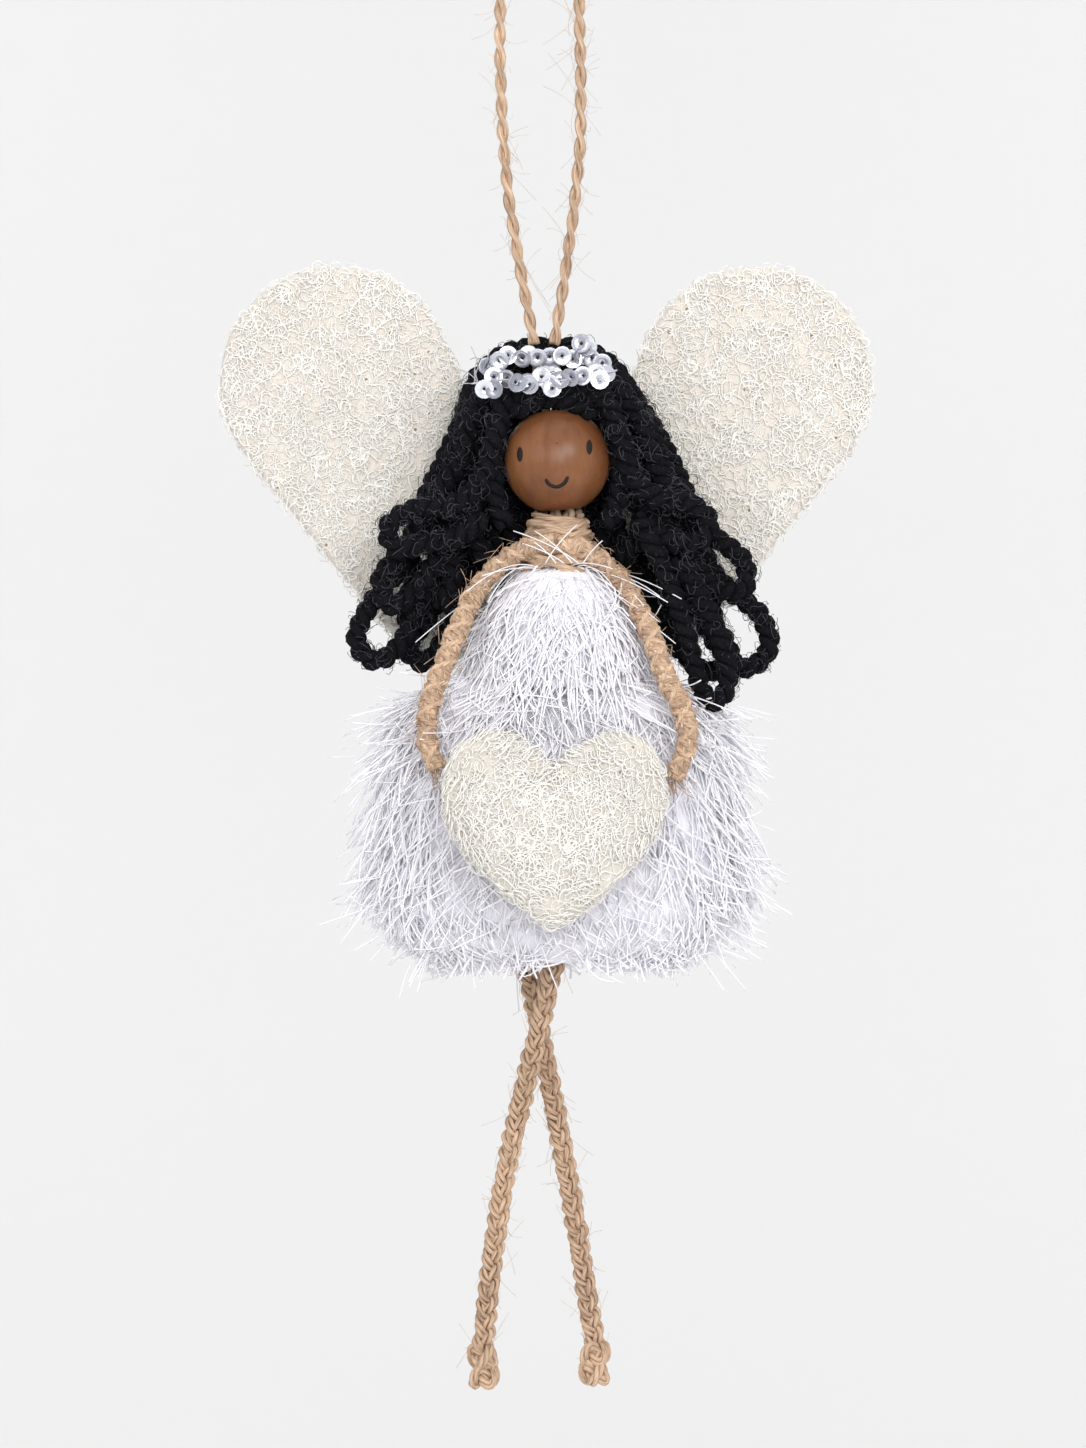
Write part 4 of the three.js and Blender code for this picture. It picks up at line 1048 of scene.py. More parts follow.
BODICE_YARN = 0.87
NECKLINE_STRAYS, STRAY_RADIUS = 44, 0.085 * MM
NECK_STRAYS = np.array([  # root, lean, rise and length of the fibres that cross the neck
    (5.8, -0.8, 0.62, 9.5), (4.8, -0.62, 0.8, 7.0), (0.8, 0.5, 0.9, 7.5), (6.4, 0.45, 0.75, 4.5),
    (2.4, -0.5, 0.7, 4.5), (3.6, -0.8, 0.6, 6.0)])
NECK_STRAY_FRONT, NECK_STRAY_Z = -7.5, -92.2
FLAKE_RADIUS, FLAKE_HALF = 0.11 * MM, 0.02 * MM


def on_bell(profile, depth, around, down, grow=1.0):
    """Points of a bell: radius and height follow the profile, x = radius cos a, y = depth radius sin a."""
    shares, radii, heights = np.array(profile).T
    radius = np.interp(down, shares, radii) * grow
    height = np.interp(down, shares, heights)
    return MM * np.stack(
        [BODY_X + radius * np.cos(around), depth * radius * np.sin(around), height + 0 * around], axis=-1)


def fringe(profile, depth, count, seed, root, reach, spread, tips, sway, thickness, steps=6):
    """Fibres of the fringe in clumps: each a parabola from the inner bell, over the outer one, to its tip."""
    rng = np.random.default_rng(seed)
    clump = np.repeat(np.arange(count // CLUMP), CLUMP)
    count = len(clump)

    def scattered(low, high, loose):
        """A value for each clump, spread a little among its fibres."""
        return rng.uniform(low, high, clump[-1] + 1)[clump] + loose * (high - low) * rng.normal(size=count)

    around = scattered(0, TURN, 0.008)
    down = scattered(*root, 0.08)
    reach = scattered(*reach, 0.2)
    aside = scattered(-spread, spread, 0.5)
    start = on_bell(profile, depth, around, down, 0.82)
    middle = on_bell(profile, depth, around + 0.25 * aside, down + 0.45 * reach, scattered(0.87, 0.98, 0.3))
    parted = np.exp(-(np.cos(around + aside) / PARTING) ** 2) * (np.sin(around + aside) < 0)
    end = np.minimum(down + reach, 1.05 - 0.12 * parted + 0.04 * rng.normal(size=count))
    tip = on_bell(profile, depth, around + aside, end, scattered(*tips, 0.25))
    t = np.linspace(0, 1, steps + 1)[None, :, None]
    paths = (1 - t) ** 2 * start[:, None] + 2 * t * (1 - t) * middle[:, None] + t**2 * tip[:, None]
    drift = rng.normal(size=(count, 1, 3)) * np.array([1, 0.5, 0.7])
    paths = paths + sway * MM * t * np.sin(5 * t + rng.uniform(0, TURN, (count, 1, 1))) * drift
    out = paths - np.array([BODY_X * MM, 0, 0])
    out[..., 2] = 0
    taper = thickness * rng.uniform(0.7, 1.25, (count, 1)) * (1 - 0.4 * t[..., 0])
    return tubes(paths, taper, unit(out), 5, rng.uniform(0, 1, count))


def lashes(
        profile, depth, count, seed, flare, stray, lengths, radius, down=(0.02, 0.94), fall=(0.3, 1.0),
        spread=math.pi / 2):
    """Single fibres standing off the fringe: parabolas from the bell, out by the flare, down by the fall."""
    rng = np.random.default_rng(seed)
    around = math.pi * rng.integers(0, 2, count) + rng.uniform(-spread, spread, count)
    roots = on_bell(profile, depth, around, rng.uniform(*down, count), 0.92)
    out = unit(np.stack([depth * np.cos(around), np.sin(around), 0 * around], axis=-1))
    directions = flare * out - rng.uniform(*fall, (count, 1)) * Z_AXIS + stray * rng.normal(size=(count, 3))
    bends = stray * rng.normal(size=(count, 3)) - 0.15 * Z_AXIS
    paths = bent_fibres(roots, directions, rng.uniform(*lengths, count) * MM, bends, 7)
    taper = radius * MM * rng.uniform(0.7, 1.2, (count, 1)) * np.linspace(1, 0.75, 8)
    return tubes(paths, taper, out[:, None], 4, rng.uniform(0, 1, count))


def bell(profile, depth, grow, last, seed):
    """The wound yarn inside the fringe: the bell drawn in, ridged by its rounds, closed at the hem."""
    around = np.linspace(0, TURN, 96, endpoint=False)[None]
    down = np.linspace(last, 0, 60)[:, None]
    ridged = grow * (1 + 0.02 * np.cos(TURN * 9 * down))
    rings = on_bell(profile, depth, around + 0 * down, down + 0 * around, ridged)
    rings = rings * (1 + 0.012 * ripple(rings, 6 * MM, seed)[..., None] * np.array([1, 1, 0]))
    low, high = rings[0].mean(axis=0), rings[-1].mean(axis=0)
    return polar(rings, low + HEM_HOLLOW * Z_AXIS, high)


def hem(count, thickness):
    """Straight fibres that hang from the hem beside its parting, and under the skirt beside the legs."""
    rng = np.random.default_rng(28)
    around = rng.uniform(0, TURN, count)
    around = around[(np.abs(np.cos(around)) > PARTING) | (np.sin(around) > 0)]
    roots = on_bell(SKIRT, SKIRT_DEPTH, around, rng.uniform(0.74, 0.94, len(around)), 0.76)
    lengths = rng.uniform(2.4, 4.6, len(around)) * MM
    turn = rng.uniform(0, TURN, count)
    share = np.sqrt(rng.uniform(0.15, 1, count))
    below = on_bell(SKIRT, SKIRT_DEPTH, turn, 1.0, SKIRT_YARN * share)
    below = below + HEM_HOLLOW * (1 - share[:, None]) * Z_AXIS
    clear = np.abs(below[:, 0] - BODY_X * MM) > LEG_ROOM
    around = np.concatenate([around, turn[clear]])
    roots = np.vstack([roots, below[clear]])
    lengths = np.concatenate([lengths, rng.uniform(1.2, 2.6, clear.sum()) * MM])
    count = len(around)
    radial = np.stack([np.cos(around), SKIRT_DEPTH * np.sin(around), 0 * around], axis=-1)
    directions = rng.uniform(0.2, 0.8, (count, 1)) * radial - Z_AXIS + 0.2 * rng.normal(size=(count, 3))
    paths = bent_fibres(roots, directions, lengths, 0.14 * rng.normal(size=(count, 3)), 5)
    taper = thickness * rng.uniform(0.8, 1.3, (count, 1)) * np.linspace(1, 0.75, 6)
    return tubes(paths, taper, radial[:, None], 5, rng.uniform(0, 1, count))


def neckline(rng):
    """Long strays that leave the top of the bodice sideways and fall, and a few that cross the neck."""
    count = NECKLINE_STRAYS
    around = rng.uniform(math.pi, TURN, count)
    roots = on_bell(BODICE, BODICE_DEPTH, around, 0.04, 0.9)
    directions = np.stack([1.2 * np.cos(around), -0.5 + 0 * around, rng.uniform(-1.1, 0.4, count)], axis=-1)
    aside = 0.2 * rng.normal(size=count)
    bends = np.stack([aside, -0.12 + 0 * around, -rng.uniform(0.2, 1.4, count)], axis=-1)
    strays = bent_fibres(roots, directions, rng.uniform(5, 13, count) * MM, bends, 9)
    root, lean, rise, length = NECK_STRAYS.T
    roots = np.stack([root, NECK_STRAY_FRONT + 0 * root, NECK_STRAY_Z + 0 * root], axis=-1) * MM
    directions = np.stack([lean, 0.08 + 0 * lean, rise], axis=-1)
    bends = np.stack([0.3 * lean, 0 * lean, -0.1 + 0 * lean], axis=-1)
    crossing = bent_fibres(roots, directions, length * MM, bends, 9)
    tones = rng.uniform(0, 1, count)
    return [tubes(strays, STRAY_RADIUS, Y_AXIS, 4, tones), tubes(crossing, STRAY_RADIUS, Y_AXIS, 4, 0.6)]


def flakes(count, rng):
    """Flat round flakes at random turns on both bells, one in three on the bodice."""
    shares = rng.uniform(0.05, 0.95, count)
    spread = rng.uniform(0, TURN, count)
    on_skirt = on_bell(SKIRT, SKIRT_DEPTH, spread, shares, 0.97)
    on_bodice = on_bell(BODICE, BODICE_DEPTH, spread, shares, 0.99)
    places = np.where((np.arange(count) % 3 == 0)[:, None], on_bodice, on_skirt)
    facing = unit(rng.normal(size=(count, 3)))
    paths = np.stack([places - FLAKE_HALF * facing, places + FLAKE_HALF * facing], axis=1)
    reference = unit(np.cross(facing, X_AXIS + 0.3 * rng.normal(size=(count, 3))))
    return tubes(paths, FLAKE_RADIUS, reference[:, None], 6)


def make_dress(settings):
    """Two tiers of eyelash fringe: inner bells of yarn, rounds of fibres over them, strays and glitter."""
    white = fibre_material(
        "eyelash_fibre", linear(244, 243, 250), settings.white, 3000.0, 120.0, bump=0.0,
        Roughness=0.3, Specular_IOR_Level=0.6)
    # Painted shade: the yarn of the inner bells is drawn a little darker and lavender, for the shade deep in
    # the fringe.
    yarn = fibre_material(
        "fringe_yarn_shade", linear(237, 235, 243), settings.shade, 900.0, 900.0, bump=0.25, depth=0.2,
        Roughness=0.7)
    thickness, single = settings.fibre_radius, settings.lashes

    def add_fringe(name, part, material=white, replaces=()):
        """A piece of the dress."""
        add_piece(name, part, material, "doll", replaces)

    add_fringe("skirt_yarn", bell(SKIRT, SKIRT_DEPTH, SKIRT_YARN, 1.0, 21), yarn, ["dress_skirt"])
    add_fringe("bodice_yarn", bell(BODICE, BODICE_DEPTH, BODICE_YARN, 0.8, 22), yarn, ["dress_bodice"])
    for name, root, reach, spread, tips, sway, seed in SKIRT_ROUNDS:
        add_fringe(f"skirt_fringe_{name}", fringe(
            SKIRT, SKIRT_DEPTH, settings.skirt_fibres, seed, root, reach, spread, tips, sway, thickness))
    add_fringe("skirt_hem", hem(settings.hem_fibres, thickness))
    add_fringe("bodice_fringe", fringe(
        BODICE, BODICE_DEPTH, settings.bodice_fibres, 26, (-0.08, 0.6), (0.32, 0.75), 0.46, (0.94, 1.08), 1.3,
        thickness))
    add_fringe("skirt_lashes", [
        lashes(SKIRT, SKIRT_DEPTH, single, 29, 0.9, 0.3, (3.6, 7), 0.14),
        lashes(
            SKIRT, SKIRT_DEPTH, single // 2, 31, 1.1, 0.22, (5.5, 9), 0.16, (0.03, 0.36), (0.25, 0.9), 0.75)])
    add_fringe("bodice_lashes", lashes(BODICE, BODICE_DEPTH, single // 3, 30, 0.22, 0.42, (4, 8.5), 0.11))
    rng = np.random.default_rng(27)
    add_fringe("bodice_strays", neckline(rng))
    add_fringe("dress_glitter", flakes(settings.glitter, rng), glitter_material())


# Felt

WING_FRONT, WING_BACK = 12.15, 15.75
WING_MIDDLE = 0.9
WING_TIP, WING_TIP_RADIUS = np.array([32.0, -64.1]), 17.6
WING_ROOT, WING_ROOT_RADIUS = np.array([14.2, -93.0]), 13.3
HEART_CENTRE = np.array([2.1, -22.375, -131.9])
HEART_LEAN = math.radians(4)
HEART_MIDDLE = 0.94
HEART_DRAWN_IN = 0.935  # the felt inside its fuzz
HEART_RIM, HEART_THICKNESS, HEART_FULLNESS = 2.4, 6.0, 2.4
HEART_EDGE_LOOPS, WING_EDGE_LOOPS = 400, 700
HEART_LOOP_SIZE = 1.2  # against a wing's loops
HEART_RIPPLE, WING_RIPPLE = 0.05, 0.06  # unevenness of the felt in millimetres
WING_FLAT = 0.955  # share of the way to the edge where a wing's rounding starts
LOOP_RISE, LOOP_LIFT, LOOP_THICKNESS, LOOP_LEAN = 0.1 * MM, 0.16 * MM, 0.098 * MM, 0.08


def bezier(corners, count):
    """Points of cubic Bezier spans laid end to end."""
    t = np.linspace(0, 1, count, endpoint=False)[None, :, None]
    a, b, c, d = (np.array(corners, float)[:, k, None] for k in range(4))
    spans = (1 - t) ** 3 * a + 3 * t * (1 - t) ** 2 * b + 3 * t**2 * (1 - t) * c + t**3 * d
    return spans.reshape(-1, 2)


def closed_evenly(outline, count):
    """A closed outline with its points evenly apart."""
    ring = np.vstack([outline, outline[:1]])
    travelled = np.concatenate([[0], np.cumsum(np.linalg.norm(np.diff(ring, axis=0), axis=1))])
    at = np.linspace(0, travelled[-1], count, endpoint=False)
    return np.stack([np.interp(at, travelled, ring[:, k]) for k in range(2)], axis=1)


def heart_outline(count):
    """The heart's edge in millimetres, counter-clockwise from the front: three spans to a side, mirrored."""
    wide, top, tip, cleft = 17.1, 15.1, -15.1, 10.0
    right = bezier([
        [(0, cleft - 0.4), (0.1 * wide, cleft + 0.8), (0.3 * wide, top), (0.58 * wide, top)],
        [(0.58 * wide, top), (0.84 * wide, top), (wide, 0.74 * top), (wide, 0.38 * top)],
        [(wide, 0.38 * top), (wide, 0.1 * tip), (0.5 * wide, 0.62 * tip), (0, tip)]], 60)
    left = np.vstack([[0, tip], right[:0:-1] * [-1, 1]])
    outline = closed_evenly(np.vstack([right, left])[::-1], count)
    return np.mean([np.roll(outline, k, axis=0) for k in range(-2, 3)], axis=0)


def wing_outline(count):
    """The right wing's edge in millimetres from the mirror plane: the hull of two circles, tip and root."""
    along = WING_ROOT - WING_TIP
    lean = math.atan2(along[1], along[0])
    opening = math.acos((WING_TIP_RADIUS - WING_ROOT_RADIUS) / np.linalg.norm(along))
    tip = np.linspace(lean + opening, lean - opening + TURN, 160)[:, None]
    root = np.linspace(lean - opening, lean + opening, 90)[:, None]
    tip = WING_TIP + WING_TIP_RADIUS * np.hstack([np.cos(tip), np.sin(tip)])
    root = WING_ROOT + WING_ROOT_RADIUS * np.hstack([np.cos(root), np.sin(root)])
    return closed_evenly(np.vstack([tip, root]), count)


def by_area(spokes, count, rng):
    """Random places on an outline, each as likely as the area of the wedge between it and the next spoke."""
    after = np.roll(spokes, -1, axis=0)
    wedge = np.abs(spokes[:, 0] * after[:, 1] - spokes[:, 1] * after[:, 0])
    return rng.choice(len(spokes), count, p=wedge / wedge.sum())


def felt_loops(centres, normals, radius, seed):
    """Loops of fibre matted on the felt: arcs lying on its face, each leaning a little."""
    rng = np.random.default_rng(seed)
    count = len(centres)
    lean = unit(normals + LOOP_LEAN * rng.normal(size=(count, 3)))
    radii = radius * rng.uniform(0.6, 1.45, count)
    sweeps = rng.uniform(2.0, 5.6, count)
    starts = rng.uniform(0, TURN, count)
    paths = curls(centres + LOOP_RISE * normals, lean, radii, sweeps, starts, LOOP_LIFT, 8)
    thick = LOOP_THICKNESS * rng.uniform(0.65, 1.2, (count, 1))
    return tubes(paths, thick, lean[:, None] + 0.05, 4, rng.uniform(0, 1, count))


def leaned(points):
    """Points of the heart in millimetres, leaned about its middle and put in place in metres."""
    x, y, z = np.moveaxis(np.asarray(points, float), -1, 0)
    cosine, sine = math.cos(-HEART_LEAN), math.sin(-HEART_LEAN)
    placed = np.stack([x, y * cosine - z * sine, y * sine + z * cosine], axis=-1)
    return (HEART_CENTRE + placed) * MM


def heart_crown(share):
    """Half the heart's thickness on the way to its edge: a rim, and a crown sqrt(1 - share to the 2.4)."""
    swell = np.sqrt(np.maximum(1 - share**HEART_FULLNESS, 0))
    return HEART_RIM / 2 + (HEART_THICKNESS - HEART_RIM) / 2 * swell


def make_heart(settings):
    """A puffy heart: rings of its outline drawn to its middle and crowned on each face, under loops."""
    felt = felt_material("heart_felt", settings.heart, settings.heart_hollow_shade)
    loose = fibre_material(
        "felt_loops", linear(236, 233, 227), linear(250, 248, 244), 2000.0, 150.0, bump=0.1,
        Roughness=0.85, Specular_IOR_Level=0.15, Sheen_Weight=0.2)
    outline = HEART_DRAWN_IN * heart_outline(150)
    shares = np.sin(np.linspace(0.06, 1, 26) * math.pi / 2)
    crown = heart_crown(shares)
    turn = np.linspace(-1, 1, 7)[1:-1] * math.pi / 2
    rim = np.stack([1 + 0.035 * np.cos(turn), -HEART_RIM / 2 * np.sin(turn)], axis=-1)
    profile = np.vstack([np.stack([shares, crown], -1), rim, np.stack([shares, -crown], -1)[::-1]])
    scale = profile[:, 0, None, None]
    flat = np.array([0, HEART_MIDDLE]) + scale * (outline - [0, HEART_MIDDLE])
    local = np.stack([flat[..., 0], profile[:, 1, None] + 0 * flat[..., 0], flat[..., 1]], axis=-1)
    local = local + HEART_RIPPLE * ripple(local, 7, 31)[..., None] * np.array([0.5, 1, 0.5])
    poles = np.array([[0, HEART_THICKNESS / 2, HEART_MIDDLE], [0, -HEART_THICKNESS / 2, HEART_MIDDLE]])
    padding = polar(leaned(local), *leaned(poles))
    heart = add_piece("heart_felt", padding, felt, "doll", ["felt_heart"])

    rng = np.random.default_rng(33)
    count = settings.heart_loops
    rims = HEART_EDGE_LOOPS
    total = count + rims
    at = by_area(outline - [0, HEART_MIDDLE], total, rng)
    share = np.sqrt(rng.uniform(0, 0.98, total))
    share[count:] = rng.uniform(0.97, 1.01, rims)
    face = np.where(np.arange(total) % 4 == 3, 1.0, -1.0)
    rise = heart_crown(share)
    rise[count:] *= rng.uniform(0.1, 1, rims)
    spot = np.array([0, HEART_MIDDLE]) + share[:, None] * (outline[at] - [0, HEART_MIDDLE])
    middles = np.stack([spot[:, 0], face * rise, spot[:, 1]], axis=-1)
    slope = np.stack([spot[:, 0], 0 * rise, spot[:, 1] - HEART_MIDDLE], axis=-1)
    steep = np.where(np.arange(total) < count, 1.4 * share**4, 5.0)
    normals = unit(face[:, None] * Y_AXIS + steep[:, None] * unit(slope))
    turned = leaned(normals * MM) - leaned(np.zeros(3))
    loops = felt_loops(leaned(middles), unit(turned), HEART_LOOP_SIZE * settings.loop_radius, 34)
    add_piece("heart_loops", loops, loose, "doll")


def make_wings(settings):
    """Felt paddles: rings of the outline drawn to its middle, flat on both faces with a rounded edge."""
    felt = felt_material("cream_felt", settings.cream, settings.hollow_shade)
    loose = bpy.data.materials["felt_loops"]
    outline = wing_outline(180)
    middle = (WING_TIP + WING_ROOT) / 2
    shares = np.linspace(0.03, WING_FLAT, 24)
    turn = np.linspace(0, 1, 7)[1:-1] * math.pi
    half = (WING_BACK - WING_FRONT) / 2
    edge = np.stack([WING_FLAT + (1 - WING_FLAT) * np.sin(turn), half * np.cos(turn)], axis=-1)
    face = np.stack([shares, np.full_like(shares, half)], axis=-1)
    profile = np.vstack([face, edge, face[::-1] * [1, -1]])
    flat = middle + profile[:, 0, None, None] * (outline - middle)
    depth = (WING_FRONT + WING_BACK) / 2 + profile[:, 1, None] + 0 * flat[..., 0]
    for side, way, seed in (("left", -1, 51), ("right", 1, 52)):
        local = np.stack([WING_MIDDLE + way * flat[..., 0], depth, flat[..., 1]], axis=-1)
        local = local[:, ::way]
        local = local + WING_RIPPLE * ripple(local, 8, seed)[..., None] * np.array([0.6, 1, 0.6])
        poles = np.array([[WING_MIDDLE + way * middle[0], y, middle[1]] for y in (WING_BACK, WING_FRONT)])
        wing = add_piece(
            f"wing_felt_{side}", polar(local * MM, *(poles * MM)), felt, "doll", [f"wing_{side}"])
        rng = np.random.default_rng(seed)
        rims = WING_EDGE_LOOPS
        count = settings.wing_loops
        total = count + count // 3 + rims
        at = by_area(outline - middle, total, rng)
        share = np.sqrt(rng.uniform(0, 0.97, total))
        share[-rims:] = rng.uniform(0.93, 0.985, rims)
        spot = middle + share[:, None] * (outline[at] - middle)
        front = np.arange(total) < count
        level = np.where(front, WING_FRONT, WING_BACK)
        level[-rims:] = rng.uniform(WING_FRONT, WING_BACK, rims)
        centres = np.stack([WING_MIDDLE + way * spot[:, 0], level, spot[:, 1]], axis=-1)
        normals = np.where(front[:, None], -Y_AXIS, Y_AXIS)
        x, z = unit(outline[at] - middle)[-rims:].T
        normals[-rims:] = unit(np.stack([way * x, rng.normal(0, 1.2, rims), z], axis=-1))
        for place, some in (("front", front), ("edge", ~front)):
            part = felt_loops(centres[some] * MM, normals[some], settings.loop_radius, seed + 2)
            add_piece(f"wing_{place}_loops_{side}", part, loose, "doll")


# Legs

PLAIT_PITCH = 7.6 * MM
PLAIT_YARN = (0.44 * MM, 0.34 * MM, 6.5 * MM)  # offset, radius and lay of a strand's yarns
KNOT_YARN = (0.4 * MM, 0.36 * MM, 6 * MM)
PLAIT_WIDE, PLAIT_DEEP = 0.95 * MM, 0.6 * MM  # how far a strand swings across and in depth
KNOTS = [(1.9, 0.4), (4.9, 1.5)]  # depth under the leg's end in millimetres, and turn
KNOT_SIZE, KNOT_HEIGHT = 0.62, 2.1
LEG_END = np.array([0, 0, 4])
LEG_STRAYS, LEG_STRAY = 130, 0.03 * MM


def knot_line(middle, size, spin):
    """A trefoil: x = sin t + 2 sin 2t, y = cos t - 2 cos 2t, z = -2.1 sin 3t, drawn to size and turned."""
    t = np.linspace(0, TURN, 200)
    x = np.sin(t) + 2 * np.sin(2 * t)
    y = np.cos(t) - 2 * np.cos(2 * t)
    knot = np.stack([x, y, -KNOT_HEIGHT * np.sin(3 * t)], axis=-1)
    turn = np.array([[math.cos(spin), -math.sin(spin), 0], [math.sin(spin), math.cos(spin), 0], [0, 0, 1]])
    return evenly((size * knot @ turn.T + middle) * MM, 0.3 * MM)


def make_legs(settings):
    """Plaits of three strands, each ending in a double knot.

    Strand k swings by wide * sin p across and deep * sin 2p in depth, p = 2 pi (distance / pitch + k / 3).
    """
    twine = twine_material(settings)
    for name, leg, body, seed in (("front", LEG_FRONT, "front_leg", 71), ("rear", LEG_REAR, "rear_leg", 72)):
        foot = np.array(leg[-1])
        route = smooth_route(leg + [tuple(foot - LEG_END)], 0.3 * MM)
        _, side, up = axes_along(route, Y_AXIS)
        phase = TURN * (travel(route)[None] / PLAIT_PITCH + np.arange(3)[:, None] / 3)[..., None]
        lines = route + PLAIT_WIDE * np.sin(phase) * side + PLAIT_DEEP * np.sin(2 * phase) * up
        lines = lines + 0.12 * MM * ripple(lines, 3 * MM, seed)[..., None] * side
        parts = yarns(lines, *PLAIT_YARN, Y_AXIS, 0.4)
        add_piece(f"leg_plait_{name}", parts, twine, body, [f"leg_{name}"])
        knots = []
        for drop, spin in KNOTS:
            line = knot_line(foot - drop * Z_AXIS, KNOT_SIZE, spin + seed)
            out = unit(line - line.mean(axis=0) + 1e-9) + 0.2 * Z_AXIS
            knots = knots + yarns([line], *KNOT_YARN, out, 0.45)
        add_piece(f"foot_twine_{name}", knots, twine, body, [f"foot_knot_{name}"])
        strays = fuzz_on(route, 1.6 * MM, LEG_STRAYS, (1 * MM, 3.2 * MM), seed, Y_AXIS)
        add_piece(f"leg_fibres_{name}", tubes(strays, LEG_STRAY, X_AXIS, 3, 0.9), twine, body)


def finish_inner_pieces():
    """Plain wood on the core, stick and disc inside, and drawn steel on the arm wires."""
    wood = wood_material("bare_wood", linear(214, 182, 138), linear(178, 142, 98), linear(140, 104, 66), 0.2)
    wire = wire_material()
    for name, material in (("neck_core", wood), ("spine_stick", wood), ("hip_disc", wood),
                           ("arm_wire_left", wire), ("arm_wire_right", wire)):
        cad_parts[name].material_slots[0].material = material


# Stage

FRAME_MIDDLE = (0.45 * MM, -116.1 * MM)
FLOOR_Z = -0.62
WALL_Y, WALL_ROUND = 2.4, 0.6
STAGE_REACH, WALL_TOP = 9.0, 5.0
SOFTBOXES = [  # name, place and side in metres, power in watts
    ("right_softbox", (0.64, -1.28, 0.47), 0.56, 7.4),
    ("left_softbox", (-0.88, -1.12, 0.31), 0.64, 2.6),
    ("front_softbox", (0.08, -1.6, 0.23), 0.8, 8.3),
    ("top_softbox", (0.0, 0.1, 0.75), 0.9, 1.6),
    ("back_softbox", (-0.4, 1.3, 0.4), 0.9, 3.2)]
WALL_LIGHT_X, WALL_LIGHT_SIDE, WALL_LIGHT_POWER = 0.9, 0.9, 3.3
ROOM_LIGHT = 0.72
SENSOR = 36  # millimetres, along the frame's longer side


def soft_light(name, place, target, size, power):
    """A square light panel aimed at a point."""
    lamp = bpy.data.lights.new(name, "AREA")
    lamp.energy = power
    lamp.size = size
    light = bpy.data.objects.new(name, lamp)
    light.location = place
    light.visible_camera = False
    light.rotation_euler = (Vector(target) - Vector(place)).to_track_quat("-Z", "Y").to_euler()
    bpy.context.scene.collection.objects.link(light)


def make_stage(settings):
    """A seamless backdrop: a profile of floor, quarter round and wall carried sideways, with soft lights."""
    round_off = np.linspace(0, math.pi / 2, 24)
    floor = np.linspace(-STAGE_REACH, WALL_Y - WALL_ROUND, 12)[:-1]
    wall = np.linspace(WALL_ROUND + 0.02, WALL_TOP, 8)
    y = np.concatenate([floor, WALL_Y - WALL_ROUND * (1 - np.sin(round_off)), np.full_like(wall, WALL_Y)])
    z = np.concatenate([0 * floor, WALL_ROUND * (1 - np.cos(round_off)), wall]) + FLOOR_Z
    x = np.linspace(-STAGE_REACH, STAGE_REACH, 9)[:, None]
    points = np.stack([x + 0 * y, y + 0 * x, z + 0 * x], axis=-1)
    backdrop = bpy.data.objects.new("backdrop", put_mesh("backdrop", grid(points, (False, False))))
    material, tree, surface = start_material("backdrop_paper", Roughness=0.9, Specular_IOR_Level=0.0)
    cloud = noise(tree, object_place(tree), 3.0)
    shade = [0.985 * c for c in settings.backdrop]
    feed(tree, surface, {"Base Color": mixed(tree, cloud, settings.backdrop, shade)})
    backdrop.data.materials.append(material)
    bpy.context.scene.collection.objects.link(backdrop)

    data = bpy.data.cameras.new("front_camera")
    data.lens = settings.lens
    data.sensor_width = SENSOR
    camera = bpy.data.objects.new("front_camera", data)
    camera.location = (FRAME_MIDDLE[0], -settings.distance, FRAME_MIDDLE[1])
    camera.rotation_euler = (math.pi / 2, 0, 0)
    bpy.context.scene.collection.objects.link(camera)
    bpy.context.scene.camera = camera

    for name, place, size, power in SOFTBOXES:
        soft_light(name, place, (FRAME_MIDDLE[0], 0, FRAME_MIDDLE[1]), size, power)
    for name, x in (("left_wall_light", -WALL_LIGHT_X), ("right_wall_light", WALL_LIGHT_X)):
        soft_light(name, (x, WALL_Y - 0.8, 0.35), (0.4 * x, WALL_Y, -0.1), WALL_LIGHT_SIDE, WALL_LIGHT_POWER)
    world = bpy.data.worlds.new("soft_room")
    world.use_nodes = True
    room = world.node_tree.nodes["Background"].inputs
    room["Color"].default_value = (1.0, 1.0, 1.0, 1.0)
    room["Strength"].default_value = ROOM_LIGHT
    bpy.context.scene.world = world
    bpy.context.scene.view_settings.view_transform = "Standard"


# Add-on


class OrnamentSettings(bpy.types.PropertyGroup):
    """All settings of the ornament."""

    twine: bpy.props.PointerProperty(type=TwineSettings, name="Twine", description="Twine")
    head: bpy.props.PointerProperty(type=HeadSettings, name="Head", description="Head bead")
    hair: bpy.props.PointerProperty(type=HairSettings, name="Hair", description="Hair cords")
    tiara: bpy.props.PointerProperty(type=TiaraSettings, name="Tiara", description="Sequin strings")
    dress: bpy.props.PointerProperty(type=DressSettings, name="Dress", description="Eyelash fringe")
    felt: bpy.props.PointerProperty(type=FeltSettings, name="Felt", description="Heart and wings")
    stage: bpy.props.PointerProperty(type=StageSettings, name="Stage", description="Camera and lights")


class ORNAMENT_OT_stage(bpy.types.Operator):
    """Set the front camera, the soft lights and the pale backdrop"""

    bl_idname = "ornament.stage"
    bl_label = "Stage"

    def execute(self, context):
        make_stage(context.scene.ornament.stage)
        return {"FINISHED"}


class ORNAMENT_OT_hanging_twine(bpy.types.Operator):
    """Make the hanging loop of twine and its tails"""

    bl_idname = "ornament.hanging_twine"
    bl_label = "Hanging twine"

    def execute(self, context):
        make_hanging_twine(context.scene.ornament.twine)
        return {"FINISHED"}


class ORNAMENT_OT_head(bpy.types.Operator):
    """Make the wooden bead with its painted face"""

    bl_idname = "ornament.head"
    bl_label = "Head"

    def execute(self, context):
        make_head(context.scene.ornament.head)
        return {"FINISHED"}


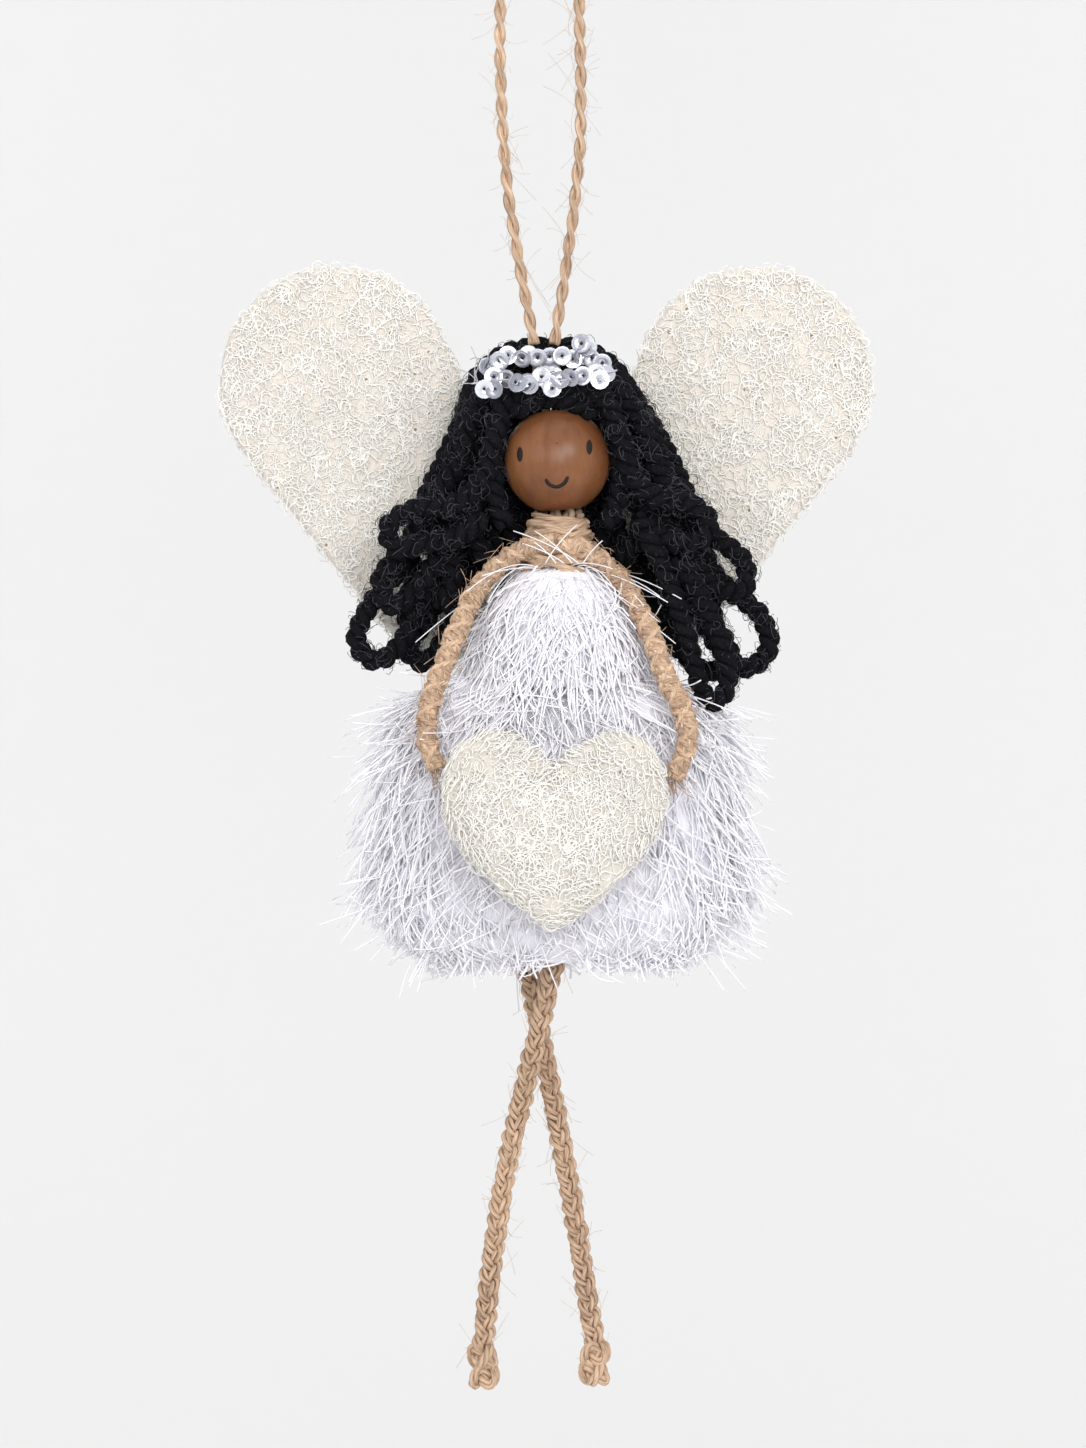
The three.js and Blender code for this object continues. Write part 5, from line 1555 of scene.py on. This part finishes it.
class ORNAMENT_OT_hair(bpy.types.Operator):
    """Make the chenille locks on both sides"""

    bl_idname = "ornament.hair"
    bl_label = "Hair"

    def execute(self, context):
        make_hair(context.scene.ornament.hair)
        return {"FINISHED"}


class ORNAMENT_OT_tiara(bpy.types.Operator):
    """Make the two strings of sequins"""

    bl_idname = "ornament.tiara"
    bl_label = "Tiara"

    def execute(self, context):
        make_tiara(context.scene.ornament.tiara)
        return {"FINISHED"}


class ORNAMENT_OT_neck_and_arms(bpy.types.Operator):
    """Wind the neck and both arms with thin twine"""

    bl_idname = "ornament.neck_and_arms"
    bl_label = "Neck and arms"

    def execute(self, context):
        make_neck_and_arms(context.scene.ornament.twine)
        return {"FINISHED"}


class ORNAMENT_OT_dress(bpy.types.Operator):
    """Make the two tiers of eyelash fringe"""

    bl_idname = "ornament.dress"
    bl_label = "Dress"

    def execute(self, context):
        make_dress(context.scene.ornament.dress)
        return {"FINISHED"}


class ORNAMENT_OT_felt(bpy.types.Operator):
    """Make the felt heart and the two felt wings"""

    bl_idname = "ornament.felt"
    bl_label = "Heart and wings"

    def execute(self, context):
        make_heart(context.scene.ornament.felt)
        make_wings(context.scene.ornament.felt)
        return {"FINISHED"}


class ORNAMENT_OT_legs(bpy.types.Operator):
    """Make the plaited legs and their knots"""

    bl_idname = "ornament.legs"
    bl_label = "Legs"

    def execute(self, context):
        make_legs(context.scene.ornament.twine)
        return {"FINISHED"}


class ORNAMENT_OT_inner_pieces(bpy.types.Operator):
    """Give the pieces inside the doll their wood and steel"""

    bl_idname = "ornament.inner_pieces"
    bl_label = "Inner pieces"

    def execute(self, context):
        finish_inner_pieces()
        return {"FINISHED"}


OPERATORS = (
    ORNAMENT_OT_stage, ORNAMENT_OT_hanging_twine, ORNAMENT_OT_head, ORNAMENT_OT_hair, ORNAMENT_OT_tiara,
    ORNAMENT_OT_neck_and_arms, ORNAMENT_OT_dress, ORNAMENT_OT_felt, ORNAMENT_OT_legs,
    ORNAMENT_OT_inner_pieces)


class ORNAMENT_PT_panel(bpy.types.Panel):
    """Lists the ornament's pieces in the order they are made"""

    bl_idname = "ORNAMENT_PT_panel"
    bl_label = "Angel ornament"
    bl_space_type = "VIEW_3D"
    bl_region_type = "UI"
    bl_category = "Ornament"

    def draw(self, context):
        for operator in OPERATORS:
            self.layout.operator(operator.bl_idname)


CLASSES = (
    TwineSettings, HeadSettings, HairSettings, TiaraSettings, DressSettings, FeltSettings, StageSettings,
    OrnamentSettings, *OPERATORS, ORNAMENT_PT_panel)


def register():
    """Registers the classes and hangs the settings on the scene."""
    for cls in CLASSES:
        bpy.utils.register_class(cls)
    bpy.types.Scene.ornament = bpy.props.PointerProperty(type=OrnamentSettings)


def unregister():
    """Takes the settings and the classes away again."""
    del bpy.types.Scene.ornament
    for cls in reversed(CLASSES):
        bpy.utils.unregister_class(cls)


def main():
    """Makes every piece in order."""
    register()
    for operator in OPERATORS:
        category, name = operator.bl_idname.split(".")
        getattr(getattr(bpy.ops, category), name)()


if __name__ == "__main__":
    main()
